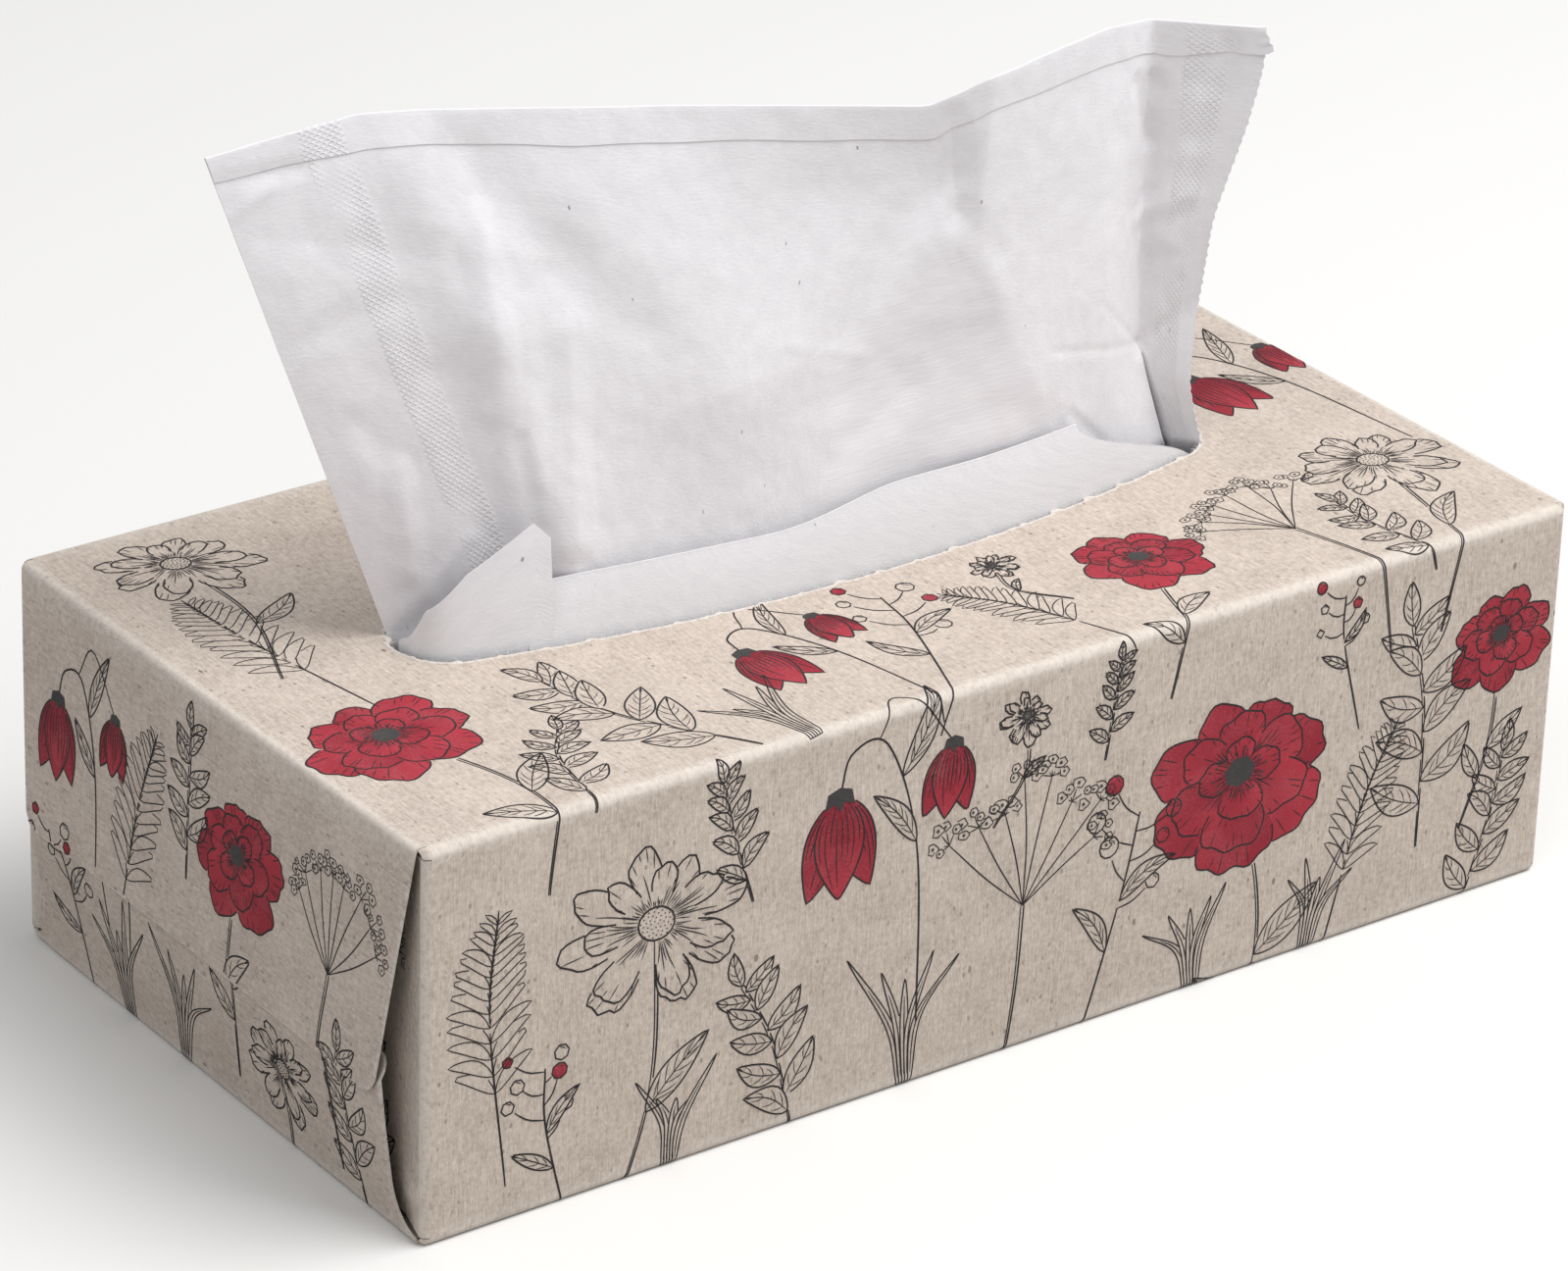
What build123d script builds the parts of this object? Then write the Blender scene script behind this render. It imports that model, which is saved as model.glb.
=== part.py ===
"""A printed carton of facial tissues with one sheet pulled up through the slot.

Millimetres. X runs along the carton, Y from the front panel (negative) to the back panel,
Z up from the table. The origin is the bottom centre of the carton.
"""
from build123d import *
import os

os.makedirs("parts", exist_ok=True)

# Carton: outside sizes, board and folds
CARTON_LENGTH = 225.0
CARTON_WIDTH = 118.0
CARTON_HEIGHT = 68.0
BOARD = 0.45
LONG_FOLD_RADIUS = 1.8
END_FOLD_RADIUS = 1.4
CORNER_SLIT = 0.6

# End flaps, from the panel's outer face to the flap's free edge
TOP_FLAP_DEPTH = 43.5
TOP_FLAP_TAPER = 9.0
TOP_FLAP_CORNER = 2.5
BOTTOM_FLAP_DEPTH = 38.0
BOTTOM_FLAP_INSET = 9.0
BOTTOM_FLAP_CURVE = 8.0
DUST_FLAP_DEPTH = 48.0
DUST_FLAP_TAPER = 5.0
DUST_FLAP_CORNER = 4.0

# Glued seam at the lower edge of the back panel
GLUE_FLAP_WIDTH = 13.0
GLUE_FLAP_END = 12.0
SEAM_GAP = 0.2

# Dispensing slot, torn open along its perforation
SLOT_LENGTH = 158.0
SLOT_WIDTH = 36.0
SLOT_END_WIDTH = 20.0
SLOT_END_LENGTH = 9.0
TAB_COUNT = 18
TAB_WIDTH = 1.6
TAB_LENGTH = 0.8

# Tissues
SHEET = 0.5
HEADSPACE = 9.1
STACK_END_GAP = 5.15
STACK_SIDE_GAP = 3.55
STACK_EDGE_RADIUS = 3.0
FAN_END_GAP = 3.0
FAN_TOP_WIDTH = 190.0
FAN_TOP_SHIFT = -12.75
FAN_HEIGHT = 90.0
SLOT_WAVE_DEPTH = 5.0
TOP_WAVE_DEPTH = 10.0
FOOT_BACK_GAP = 11.0
FOOT_END_GAP = 10.0
STRIP_END_GAP = 18.0
STRIP_FOOT_GAP = 11.5
STRIP_BACK = 3.5
STRIP_CROWN = 2.5
STRIP_HEAD_GAP = 0.4
STANDING_HEIGHT = 10.5
STANDING_SETBACK = 2.4
STANDING_SLANT = 14.0
CORNER_HEIGHT = 20.0
CORNER_BASE = 20.0
CORNER_OUTER_HEIGHT = 6.0
CORNER_TIP = 3.0
CORNER_OVERLAP = 4.0
CORNER_SETBACK = 9.5
CORNER_TURN = 25.0

half_length = CARTON_LENGTH / 2
half_width = CARTON_WIDTH / 2
top_underside = CARTON_HEIGHT - BOARD
tube_half = half_length - END_FOLD_RADIUS - 2 * BOARD
stack_top = top_underside - HEADSPACE
stack_height = stack_top - BOARD
stack_half_length = half_length - 3 * BOARD - STACK_END_GAP
stack_half_width = half_width - BOARD - STACK_SIDE_GAP
fan_width = SLOT_LENGTH - 2 * FAN_END_GAP
strip_half = SLOT_LENGTH / 2 - STRIP_END_GAP


def bent_strip(run: float, reach: float) -> Sketch:
    """Profile of a board strip that runs along a panel and turns a quarter bend into its flap."""
    with BuildSketch() as profile:
        with BuildLine():
            l1 = Line((run, 0), (reach - END_FOLD_RADIUS, 0))
            l2 = RadiusArc(l1 @ 1, (reach, END_FOLD_RADIUS), -END_FOLD_RADIUS)
            l3 = Line(l2 @ 1, (reach - BOARD, END_FOLD_RADIUS))
            l4 = RadiusArc(l3 @ 1, (reach - END_FOLD_RADIUS, BOARD), END_FOLD_RADIUS - BOARD)
            Polyline(l4 @ 1, (run, BOARD), l1 @ 0)
        make_face()
    return profile.sketch


def tapered_flap(fold_half: float, depth: float, taper: float, corner: float) -> Sketch:
    """Outline of a flap whose sides draw in evenly to its free edge."""
    free_half = fold_half - taper
    start = END_FOLD_RADIUS
    with BuildSketch() as outline:
        Polygon((-fold_half, start), (fold_half, start), (free_half, depth), (-free_half, depth), align=None)
        fillet(outline.vertices().group_by(Axis.Y)[-1], corner)
    return outline.sketch


def curved_flap(fold_half: float, depth: float, inset: float, curve: float) -> Sketch:
    """Outline of a flap whose sides sweep in beside the fold and then run straight."""
    free_half = fold_half - inset
    start = END_FOLD_RADIUS
    with BuildSketch() as outline:
        Rectangle(2 * free_half, depth - start, align=(Align.CENTER, Align.MIN))
        Rectangle(2 * fold_half, curve, align=(Align.CENTER, Align.MIN))
        for side in (-1, 1):
            with Locations((side * fold_half, curve)):
                Ellipse(inset, curve, mode=Mode.SUBTRACT)
    return Pos(0, start) * outline.sketch


long_half = half_width - LONG_FOLD_RADIUS - CORNER_SLIT
side_half = CARTON_HEIGHT / 2 - LONG_FOLD_RADIUS - CORNER_SLIT
dust_outline = tapered_flap(side_half, DUST_FLAP_DEPTH, DUST_FLAP_TAPER, DUST_FLAP_CORNER)
top_outline = tapered_flap(long_half, TOP_FLAP_DEPTH, TOP_FLAP_TAPER, TOP_FLAP_CORNER)
bottom_outline = curved_flap(long_half, BOTTOM_FLAP_DEPTH, BOTTOM_FLAP_INSET, BOTTOM_FLAP_CURVE)

# Each flap: middle of its panel's outer face, the way it folds, layers over it, half width at the fold, outline
end_flaps = [
    ((0, 0, CARTON_HEIGHT), (0, 0, -1), 0, long_half, top_outline),
    ((0, 0, 0), (0, 0, 1), 1, long_half, bottom_outline),
    ((0, -half_width, CARTON_HEIGHT / 2), (0, 1, 0), 2, side_half, dust_outline),
    ((0, half_width, CARTON_HEIGHT / 2), (0, -1, 0), 2, side_half, dust_outline),
]

with BuildPart() as carton:
    # The four panels, folded into a tube
    with BuildSketch(Plane.YZ) as tube:
        with Locations((0, CARTON_HEIGHT / 2)):
            RectangleRounded(CARTON_WIDTH, CARTON_HEIGHT, LONG_FOLD_RADIUS)
            RectangleRounded(
                CARTON_WIDTH - 2 * BOARD, CARTON_HEIGHT - 2 * BOARD, LONG_FOLD_RADIUS - BOARD, mode=Mode.SUBTRACT
            )
    extrude(amount=tube_half, both=True)

    # End flaps of both ends: dust flaps inside, then the bottom flap, then the top flap over it
    for end in (-1, 1):
        outward = Vector(end, 0, 0)
        for face, fold, layers, fold_half, flap_outline in end_flaps:
            reach = half_length - layers * BOARD
            inward = Vector(*fold)
            strip_plane = Plane(origin=face, x_dir=outward, z_dir=outward.cross(inward))
            extrude(strip_plane * bent_strip(tube_half - BOARD, reach), amount=fold_half, both=True)
            plate_origin = Vector(*face) + outward * (reach - BOARD)
            plate_plane = Plane(origin=plate_origin, x_dir=inward.cross(outward), z_dir=outward)
            extrude(plate_plane * flap_outline, amount=BOARD)

    # Glue flap inside the back panel, and the seam where that panel ends over it
    glue_plane = Plane(origin=(0, half_width - BOARD, BOARD), x_dir=(1, 0, 0), z_dir=(0, -1, 0))
    with BuildSketch(glue_plane):
        glue_half = tube_half - BOARD
        Polygon(
            (-glue_half, 0),
            (glue_half, 0),
            (glue_half - GLUE_FLAP_END, GLUE_FLAP_WIDTH),
            (GLUE_FLAP_END - glue_half, GLUE_FLAP_WIDTH),
            align=None,
        )
    extrude(amount=BOARD)
    with Locations((0, half_width - BOARD / 2, LONG_FOLD_RADIUS + SEAM_GAP)):
        Box(2 * tube_half - 4 * BOARD, BOARD, SEAM_GAP, mode=Mode.SUBTRACT)

    # Dispensing slot with its bowed sides, round ends and the small tabs left by the perforation
    with BuildSketch(Plane.XY.offset(CARTON_HEIGHT)):
        straight = SLOT_LENGTH / 2 - SLOT_END_LENGTH
        end_half = SLOT_END_WIDTH / 2
        with BuildLine():
            front_edge = ThreePointArc((-straight, -end_half), (0, -SLOT_WIDTH / 2), (straight, -end_half))
            ThreePointArc(front_edge @ 1, (SLOT_LENGTH / 2, 0), (straight, end_half))
            back_edge = ThreePointArc((straight, end_half), (0, SLOT_WIDTH / 2), (-straight, end_half))
            ThreePointArc(back_edge @ 1, (-SLOT_LENGTH / 2, 0), front_edge @ 0)
        make_face()
        for edge in (front_edge, back_edge):
            for index in range(TAB_COUNT):
                spot = (index + 0.5) / TAB_COUNT
                tangent = edge % spot
                with Locations(Location(edge @ spot, Vector(1, 0, 0).get_signed_angle(tangent))):
                    Rectangle(TAB_WIDTH, 2 * TAB_LENGTH, mode=Mode.SUBTRACT)
    extrude(amount=-3 * BOARD, mode=Mode.SUBTRACT)

carton.part.label = "carton"
export_step(carton.part, "parts/carton.step")

with BuildPart() as tissue_stack:
    # The folded sheets left in the carton, as one block on the bottom panel
    with BuildSketch(Plane.YZ):
        with Locations((0, BOARD + stack_height / 2)):
            RectangleRounded(2 * stack_half_width, stack_height, STACK_EDGE_RADIUS)
    extrude(amount=stack_half_length, both=True)

tissue_stack.part.label = "tissue_stack"
export_step(tissue_stack.part, "parts/tissue_stack.step")

# The pulled sheet's folds, left to right. Each runs up from the slot to the top edge: its share of the
# half width and of the wave's depth in the slot, the same along the top, and how far it bows half way up
folds = [
    (-1.0, 0.25, -1.03, 0.4, 0, 0),
    (-0.76, 0.45, -0.745, 0.5, 0, 0),
    (-0.63, 0.5, -0.635, 0.45, 0, 0),
    (-0.265, 0.1, -0.165, -0.1, 0, 0),
    (-0.065, 0, 0.245, -1.05, 0.07, 0),
    (0.62, -0.3, 0.405, -1.25, -0.125, -0.35),
    (0.765, 0, 0.69, -0.45, 0, 0),
    (0.93, -0.4, 0.825, 0.1, 0, 0.15),
    (1.0, -0.8, 1.0, -1.0, -0.015, 0.05),
]
# The sheet's top edge seen from the front: share of the top width, and share of the fan's height
top_edge = [
    (-0.53, 0.968),
    (-0.37, 0.98),
    (-0.315, 0.967),
    (-0.08, 0.89),
    (0.14, 0.82),
    (0.2, 0.86),
    (0.35, 0.857),
    (0.42, 0.827),
    (0.51, 0.815),
]


def fan_points(rise: float, shift: float) -> list[Vector]:
    """Points of the pulled sheet's folds at a share of the fan's height, moved in Y."""
    half = (fan_width + rise * (FAN_TOP_WIDTH - fan_width)) / 2
    bow = 4 * rise * (1 - rise)
    points = []
    for slot_across, slot_depth, top_across, top_depth, bow_across, bow_depth in folds:
        across = slot_across + rise * (top_across - slot_across) + bow * bow_across
        depth = (1 - rise) * slot_depth * SLOT_WAVE_DEPTH + (rise * top_depth + bow * bow_depth) * TOP_WAVE_DEPTH
        points.append(Vector(rise * FAN_TOP_SHIFT + across * half, depth + shift))
    return points


fan_levels = [stack_top, CARTON_HEIGHT, CARTON_HEIGHT + 0.5 * FAN_HEIGHT, CARTON_HEIGHT + FAN_HEIGHT]

with BuildPart() as pulled_tissue:
    # The fanned sheet, from the stack up through the slot
    for level in fan_levels:
        rise = max(level - CARTON_HEIGHT, 0) / FAN_HEIGHT
        with BuildSketch(Plane.XY.offset(level)):
            with BuildLine():
                near = Polyline(fan_points(rise, -SHEET / 2))
                far = Polyline(fan_points(rise, SHEET / 2))
                Line(near @ 0, far @ 0)
                Line(near @ 1, far @ 1)
            make_face()
    loft(ruled=True)
    # Its uneven top edge
    with BuildSketch(Plane.XZ):
        with BuildLine():
            edge_points = []
            for across, up in top_edge:
                edge_points.append((FAN_TOP_SHIFT + across * FAN_TOP_WIDTH, CARTON_HEIGHT + up * FAN_HEIGHT))
            rim = Polyline(edge_points)
            Polyline(rim @ 1, (FAN_TOP_WIDTH, CARTON_HEIGHT), (FAN_TOP_WIDTH, 0))
            Polyline((FAN_TOP_WIDTH, 0), (-FAN_TOP_WIDTH, 0), (-FAN_TOP_WIDTH, CARTON_HEIGHT), rim @ 0)
        make_face()
    extrude(amount=half_width, both=True, mode=Mode.INTERSECT)
    # The half still in the carton, folded back flat on the stack
    with BuildSketch(Plane.XY.offset(stack_top)):
        with BuildLine():
            front = Polyline(fan_points(0, -SHEET / 2))
            foot_side = stack_half_length - FOOT_END_GAP
            foot_back = stack_half_width - FOOT_BACK_GAP
            Polyline(front @ 1, (foot_side, foot_back / 2), (foot_side, foot_back))
            Polyline((foot_side, foot_back), (-foot_side, foot_back), (-foot_side, foot_back / 2), front @ 0)
        make_face()
    extrude(amount=2 * SHEET)

pulled_tissue.part.label = "pulled_tissue"
export_step(pulled_tissue.part, "parts/pulled_tissue.step")

fold_low = stack_top + 0.8 * HEADSPACE
fold_high = CARTON_HEIGHT + STANDING_HEIGHT

with BuildPart() as standing_fold:
    # A wall that follows the slot's front edge, and slants down at its right end
    arc_half = SLOT_LENGTH / 2 - SLOT_END_LENGTH
    with BuildSketch(Plane.XY.offset(fold_low)):
        with BuildLine():
            arcs = []
            for setback in (STANDING_SETBACK, STANDING_SETBACK + SHEET):
                end_y = setback - SLOT_END_WIDTH / 2
                middle = (0, setback - SLOT_WIDTH / 2)
                arcs.append(ThreePointArc((-arc_half, end_y), middle, (arc_half, end_y)))
            Line(arcs[0] @ 0, arcs[1] @ 0)
            Line(arcs[0] @ 1, arcs[1] @ 1)
        make_face()
    extrude(amount=fold_high - fold_low)
    with BuildSketch(Plane.XZ):
        with BuildLine():
            Polyline(
                (CORNER_OVERLAP - strip_half, fold_low),
                (CORNER_OVERLAP - strip_half, fold_high),
                (strip_half - STANDING_SLANT, fold_high),
                (strip_half, CARTON_HEIGHT),
                (strip_half, fold_low),
                close=True,
            )
        make_face()
    extrude(amount=half_width, both=True, mode=Mode.INTERSECT)

with BuildPart() as next_tissue:
    # The next sheet's fold, arched from the stack up to the underside of the slot
    strip_back = -STRIP_BACK
    strip_foot = STRIP_FOOT_GAP - stack_half_width
    strip_depth = strip_back - strip_foot
    with BuildSketch(Plane.YZ):
        for wall, mode in ((0, Mode.ADD), (SHEET, Mode.SUBTRACT)):
            crown = top_underside - STRIP_HEAD_GAP - wall
            with BuildLine():
                arch = Spline(
                    (strip_foot + 2 * wall, stack_top),
                    (strip_foot + 0.45 * strip_depth, stack_top + 0.7 * HEADSPACE - wall),
                    (strip_foot + 0.75 * strip_depth, crown),
                    (strip_back - STRIP_CROWN, crown),
                    (strip_back - wall, stack_top),
                )
                Line(arch @ 1, arch @ 0)
            make_face(mode=mode)
    extrude(amount=strip_half, both=True)
    # The same fold where it stands up behind the slot's front edge
    add(standing_fold.part)
    # Its corner that stands up at the left end of the slot
    corner_plane = Plane.XZ.offset(CORNER_SETBACK).rotated((0, 0, -CORNER_TURN))
    corner_plane.origin = (CORNER_OVERLAP - strip_half, -CORNER_SETBACK, 0)
    with BuildSketch(corner_plane):
        outer = CARTON_HEIGHT + CORNER_OUTER_HEIGHT
        high = CARTON_HEIGHT + CORNER_HEIGHT
        tip = (-CORNER_TIP, high)
        Polygon((0, fold_low), (-CORNER_BASE, fold_low), (-CORNER_BASE, outer), tip, (0, high - CORNER_TIP), align=None)
    extrude(amount=SHEET / 2, both=True)

next_tissue.part.label = "next_tissue"
export_step(next_tissue.part, "parts/next_tissue.step")
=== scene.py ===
"""Looks of a printed carton of facial tissues with one sheet drawn up through its slot.

The classes hold their sizes in millimetres, unless they say otherwise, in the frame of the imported
part: X along the carton, Y from the front panel to the back panel, Z up. Each mesh is written in
metres.
"""
import logging
import math
from dataclasses import dataclass, field, replace
from enum import Enum
from typing import Callable, Sequence

import bpy
import numpy as np
from mathutils import Matrix, Vector, noise
from mathutils.geometry import delaunay_2d_cdt

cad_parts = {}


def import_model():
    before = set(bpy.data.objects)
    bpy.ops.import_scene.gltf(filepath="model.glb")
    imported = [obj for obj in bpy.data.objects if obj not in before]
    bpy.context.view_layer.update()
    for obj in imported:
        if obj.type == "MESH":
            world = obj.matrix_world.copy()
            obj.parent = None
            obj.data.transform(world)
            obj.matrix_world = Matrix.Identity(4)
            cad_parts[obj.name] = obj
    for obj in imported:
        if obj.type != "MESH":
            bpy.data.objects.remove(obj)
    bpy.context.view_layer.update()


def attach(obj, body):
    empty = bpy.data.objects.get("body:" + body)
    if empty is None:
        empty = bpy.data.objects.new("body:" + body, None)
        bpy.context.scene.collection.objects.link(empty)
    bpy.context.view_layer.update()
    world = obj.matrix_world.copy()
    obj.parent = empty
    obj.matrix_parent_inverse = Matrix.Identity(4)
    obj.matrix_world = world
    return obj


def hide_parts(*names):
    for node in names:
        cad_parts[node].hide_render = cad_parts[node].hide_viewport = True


LOG = logging.getLogger("tissue_box")
MM = 0.001
IMAGE_WIDTH = 1599
SENSOR_MM = 36.0
BODY = "root"
FIRST_SEED = 100
SNAP = 0.01
SHARP_DEGREES = 40.0
Colour = tuple[float, float, float, float]
Test = Callable[[np.ndarray], np.ndarray]


def srgb(red: int, green: int, blue: int) -> Colour:
    """Turn a display colour of 0 to 255 into the linear colour that a shader takes."""
    linear = []
    for part in (red, green, blue):
        share = part / 255
        linear.append(share / 12.92 if share <= 0.04045 else ((share + 0.055) / 1.055) ** 2.4)
    return (linear[0], linear[1], linear[2], 1.0)


def smoothstep(value: np.ndarray, low: float, high: float) -> np.ndarray:
    """Rise smoothly from 0 at low to 1 at high."""
    share = np.clip((value - low) / (high - low), 0, 1)
    return share * share * (3 - 2 * share)


class Signal:
    """A shader socket that takes part in Python arithmetic."""

    def __init__(self, tree: "ShaderTree", socket: bpy.types.NodeSocket) -> None:
        """Hold the socket and the tree that it belongs to."""
        self.tree = tree
        self.socket = socket

    def _math(self, operation: str, first: object, second: object = 0.0) -> "Signal":
        """Add one Math node for two values or signals."""
        return self.tree.node("ShaderNodeMath", {"operation": operation}, {0: first, 1: second})

    def __add__(self, other: object) -> "Signal":
        """Add."""
        return self._math("ADD", self, other)

    __radd__ = __add__

    def __mul__(self, other: object) -> "Signal":
        """Multiply."""
        return self._math("MULTIPLY", self, other)

    __rmul__ = __mul__

    def __sub__(self, other: object) -> "Signal":
        """Subtract."""
        return self._math("SUBTRACT", self, other)

    def __rsub__(self, other: object) -> "Signal":
        """Subtract this signal from a number."""
        return self._math("SUBTRACT", other, self)

    def __gt__(self, other: object) -> "Signal":
        """Give 1 where this signal is the larger."""
        return self._math("GREATER_THAN", self, other)

    def __lt__(self, other: object) -> "Signal":
        """Give 1 where this signal is the smaller."""
        return self._math("LESS_THAN", self, other)

    def wave(self) -> "Signal":
        """Take the sine."""
        return self._math("SINE", self)

    def size(self) -> "Signal":
        """Take the absolute value."""
        return self._math("ABSOLUTE", self)

    def larger(self, other: object) -> "Signal":
        """Take the larger of two."""
        return self._math("MAXIMUM", self, other)

    def between(self, low: float, high: float, start: float = 0.0, end: float = 1.0) -> "Signal":
        """Map a range smoothly onto another, with nothing beyond its ends."""
        settings = {"interpolation_type": "SMOOTHSTEP"}
        return self.tree.node("ShaderNodeMapRange", settings, {0: self, 1: low, 2: high, 3: start, 4: end})


class ShaderTree:
    """A material's node tree, with one method that adds any node."""

    def __init__(self, name: str) -> None:
        """Make an empty material.

        Args:
            name: The material's name.
        """
        self.material = bpy.data.materials.new(name)
        self.material.use_nodes = True
        self.nodes = self.material.node_tree.nodes
        self.links = self.material.node_tree.links
        self.nodes.clear()

    def node(
        self, kind: str, settings: dict | None = None, inputs: dict | None = None, output: object = 0
    ) -> Signal:
        """Add a node, set it up and wire it.

        Args:
            kind: The node's type.
            settings: Its own settings.
            inputs: Socket name or index to a value or a Signal.
            output: Name or index of the output that is wanted.

        Returns:
            The output as a Signal.
        """
        made = self.nodes.new(kind)
        for key, value in (settings or {}).items():
            setattr(made, key, value)
        for key, value in (inputs or {}).items():
            if isinstance(value, Signal):
                self.links.new(value.socket, made.inputs[key])
            else:
                made.inputs[key].default_value = value
        return Signal(self, made.outputs[output])

    def attribute(self, name: str) -> Signal:
        """Read a number that the mesh carries."""
        return self.node("ShaderNodeAttribute", {"attribute_name": name}, None, "Fac")

    def bump(self, height: Signal, strength: float, distance: float) -> Signal:
        """Turn a height into a bent normal."""
        inputs = {"Strength": strength, "Distance": distance, "Height": height}
        return self.node("ShaderNodeBump", None, inputs, "Normal")

    def mix(self, share: object, first: object, second: object) -> Signal:
        """Mix two colours by a share."""
        settings = {"data_type": "RGBA", "blend_type": "MIX"}
        return self.node("ShaderNodeMix", settings, {0: share, 6: first, 7: second}, 2)

    def scaled(self, vector: Signal, scale: tuple[float, float, float]) -> Signal:
        """Scale coordinates before a texture reads them."""
        return self.node("ShaderNodeMapping", None, {"Vector": vector, "Scale": scale})

    def noise(self, vector: Signal, scale: float, detail: float = 3.0, roughness: float = 0.5) -> Signal:
        """Read a noise texture's value."""
        inputs = {"Vector": vector, "Scale": scale, "Detail": detail, "Roughness": roughness}
        return self.node("ShaderNodeTexNoise", None, inputs, "Fac")

    def specks(self, vector: Signal, scale: float, reach: float, share: float) -> Signal:
        """Give 1 on small round specks in some of a random texture's cells.

        Args:
            vector: Coordinates.
            scale: Cells along a metre.
            reach: A speck's radius in cells.
            share: Share of the cells with a speck.

        Returns:
            The mask.
        """
        inputs = {"Vector": vector, "Scale": scale}
        cell = self.node("ShaderNodeTexVoronoi", {"feature": "F1"}, inputs, "Color")
        distance = Signal(self, cell.socket.node.outputs["Distance"])
        pick = self.node("ShaderNodeSeparateColor", None, {0: cell}, 0)
        size = self.node("ShaderNodeSeparateColor", None, {0: cell}, 1)
        return distance.between(reach * 0.75, reach, 1.0, 0.0) * (pick < share) * (size * 0.7 + 0.3)

    def finish(self, inputs: dict) -> bpy.types.Material:
        """Close the tree with a Principled shader and give the material.

        Args:
            inputs: The shader's sockets.

        Returns:
            The material.
        """
        shader = self.node("ShaderNodeBsdfPrincipled", None, inputs)
        end = self.nodes.new("ShaderNodeOutputMaterial")
        self.links.new(shader.socket, end.inputs["Surface"])
        return self.material


@dataclass(frozen=True)
class BoardFinish:
    """Uncoated recycled board: speckled, finely streaked along the grain, worn pale at the folds."""

    name: str
    light: Colour
    dark: Colour
    grain: float = 1.0
    wear_colour: Colour = srgb(226, 219, 210)
    speck_colour: Colour = srgb(96, 80, 66)
    fibre_colour: Colour = srgb(224, 216, 204)
    torn_colour: Colour = srgb(222, 218, 213)

    def material(self) -> bpy.types.Material:
        """Build the material on the blank's own flat coordinates."""
        tree = ShaderTree(self.name)
        flat = tree.node("ShaderNodeUVMap", {"uv_map": "Blank"})
        cloud = tree.noise(flat, 90.0, 4.0, 0.6)
        pulp = tree.noise(flat, 900.0, 5.0, 0.65)
        streak = tree.noise(tree.scaled(flat, (2600.0, 260.0, 1.0)), 1.0, 3.0, 0.6)
        fine = tree.noise(tree.scaled(flat, (5200.0, 1300.0, 1.0)), 1.0, 2.0, 0.6)
        tone = cloud * 0.3 + pulp * 0.55 + (streak * 0.55 + fine * 0.45) * self.grain
        shade = tone.between(0.55, 1.22)
        colour = tree.mix(shade, self.dark, self.light)
        fibre = tree.noise(tree.scaled(flat, (2100.0, 520.0, 1.0)), 1.0, 2.0, 0.5).between(0.66, 0.74)
        colour = tree.mix(fibre * 0.4, colour, self.fibre_colour)
        speck = tree.specks(tree.scaled(flat, (1.0, 0.6, 1.0)), 760.0, 0.24, 0.3)
        chip = tree.specks(tree.scaled(flat, (1.0, 0.55, 1.0)), 210.0, 0.09, 0.3)
        colour = tree.mix((speck * 0.5).larger(chip * 0.75), colour, self.speck_colour)
        wear = tree.attribute("Wear")
        worn = wear * (pulp * 0.8 + 0.35)
        colour = tree.mix(worn.between(0.1, 0.9, 0.0, 0.45), colour, self.wear_colour)
        torn = tree.attribute("Torn")
        bared = (torn + pulp * 1.2 + fine * 0.4).between(1.1, 1.5, 0.0, 0.6) * (torn > 0.01)
        colour = tree.mix(bared, colour, self.torn_colour)
        height = pulp * 0.5 + streak * 0.35 + fine * 0.3
        inputs = {"Base Color": colour, "Roughness": pulp * 0.12 + 0.8, "Specular IOR Level": 0.3}
        inputs["Normal"] = tree.bump(height, 0.22, 0.0004)
        return tree.finish(inputs)


@dataclass(frozen=True)
class InkFinish:
    """Offset ink that sinks a little into the board, so the board's fibres show through it."""

    name: str
    colour: Colour
    thin: Colour
    mottle: float = 0.5
    pale: Colour | None = None

    def material(self) -> bpy.types.Material:
        """Build the material on object coordinates, paler where the film's tone says so."""
        tree = ShaderTree(self.name)
        place = tree.node("ShaderNodeTexCoord", None, None, "Object")
        cloud = tree.noise(place, 160.0, 3.0, 0.5)
        fibre = tree.noise(place, 2400.0, 3.0, 0.6)
        thinness = (fibre * 0.7 + cloud * 0.5).between(0.5, 0.95, 0.0, self.mottle)
        colour = tree.mix(thinness, self.colour, self.thin)
        if self.pale:
            tone = tree.attribute("Tone")
            inked = tree.mix(tone, self.colour, self.pale)
            colour = tree.mix(thinness, inked, self.thin)
        inputs = {"Base Color": colour, "Roughness": fibre * 0.15 + 0.66, "Specular IOR Level": 0.3}
        inputs["Normal"] = tree.bump(fibre, 0.15, 0.0003)
        return tree.finish(inputs)


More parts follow.
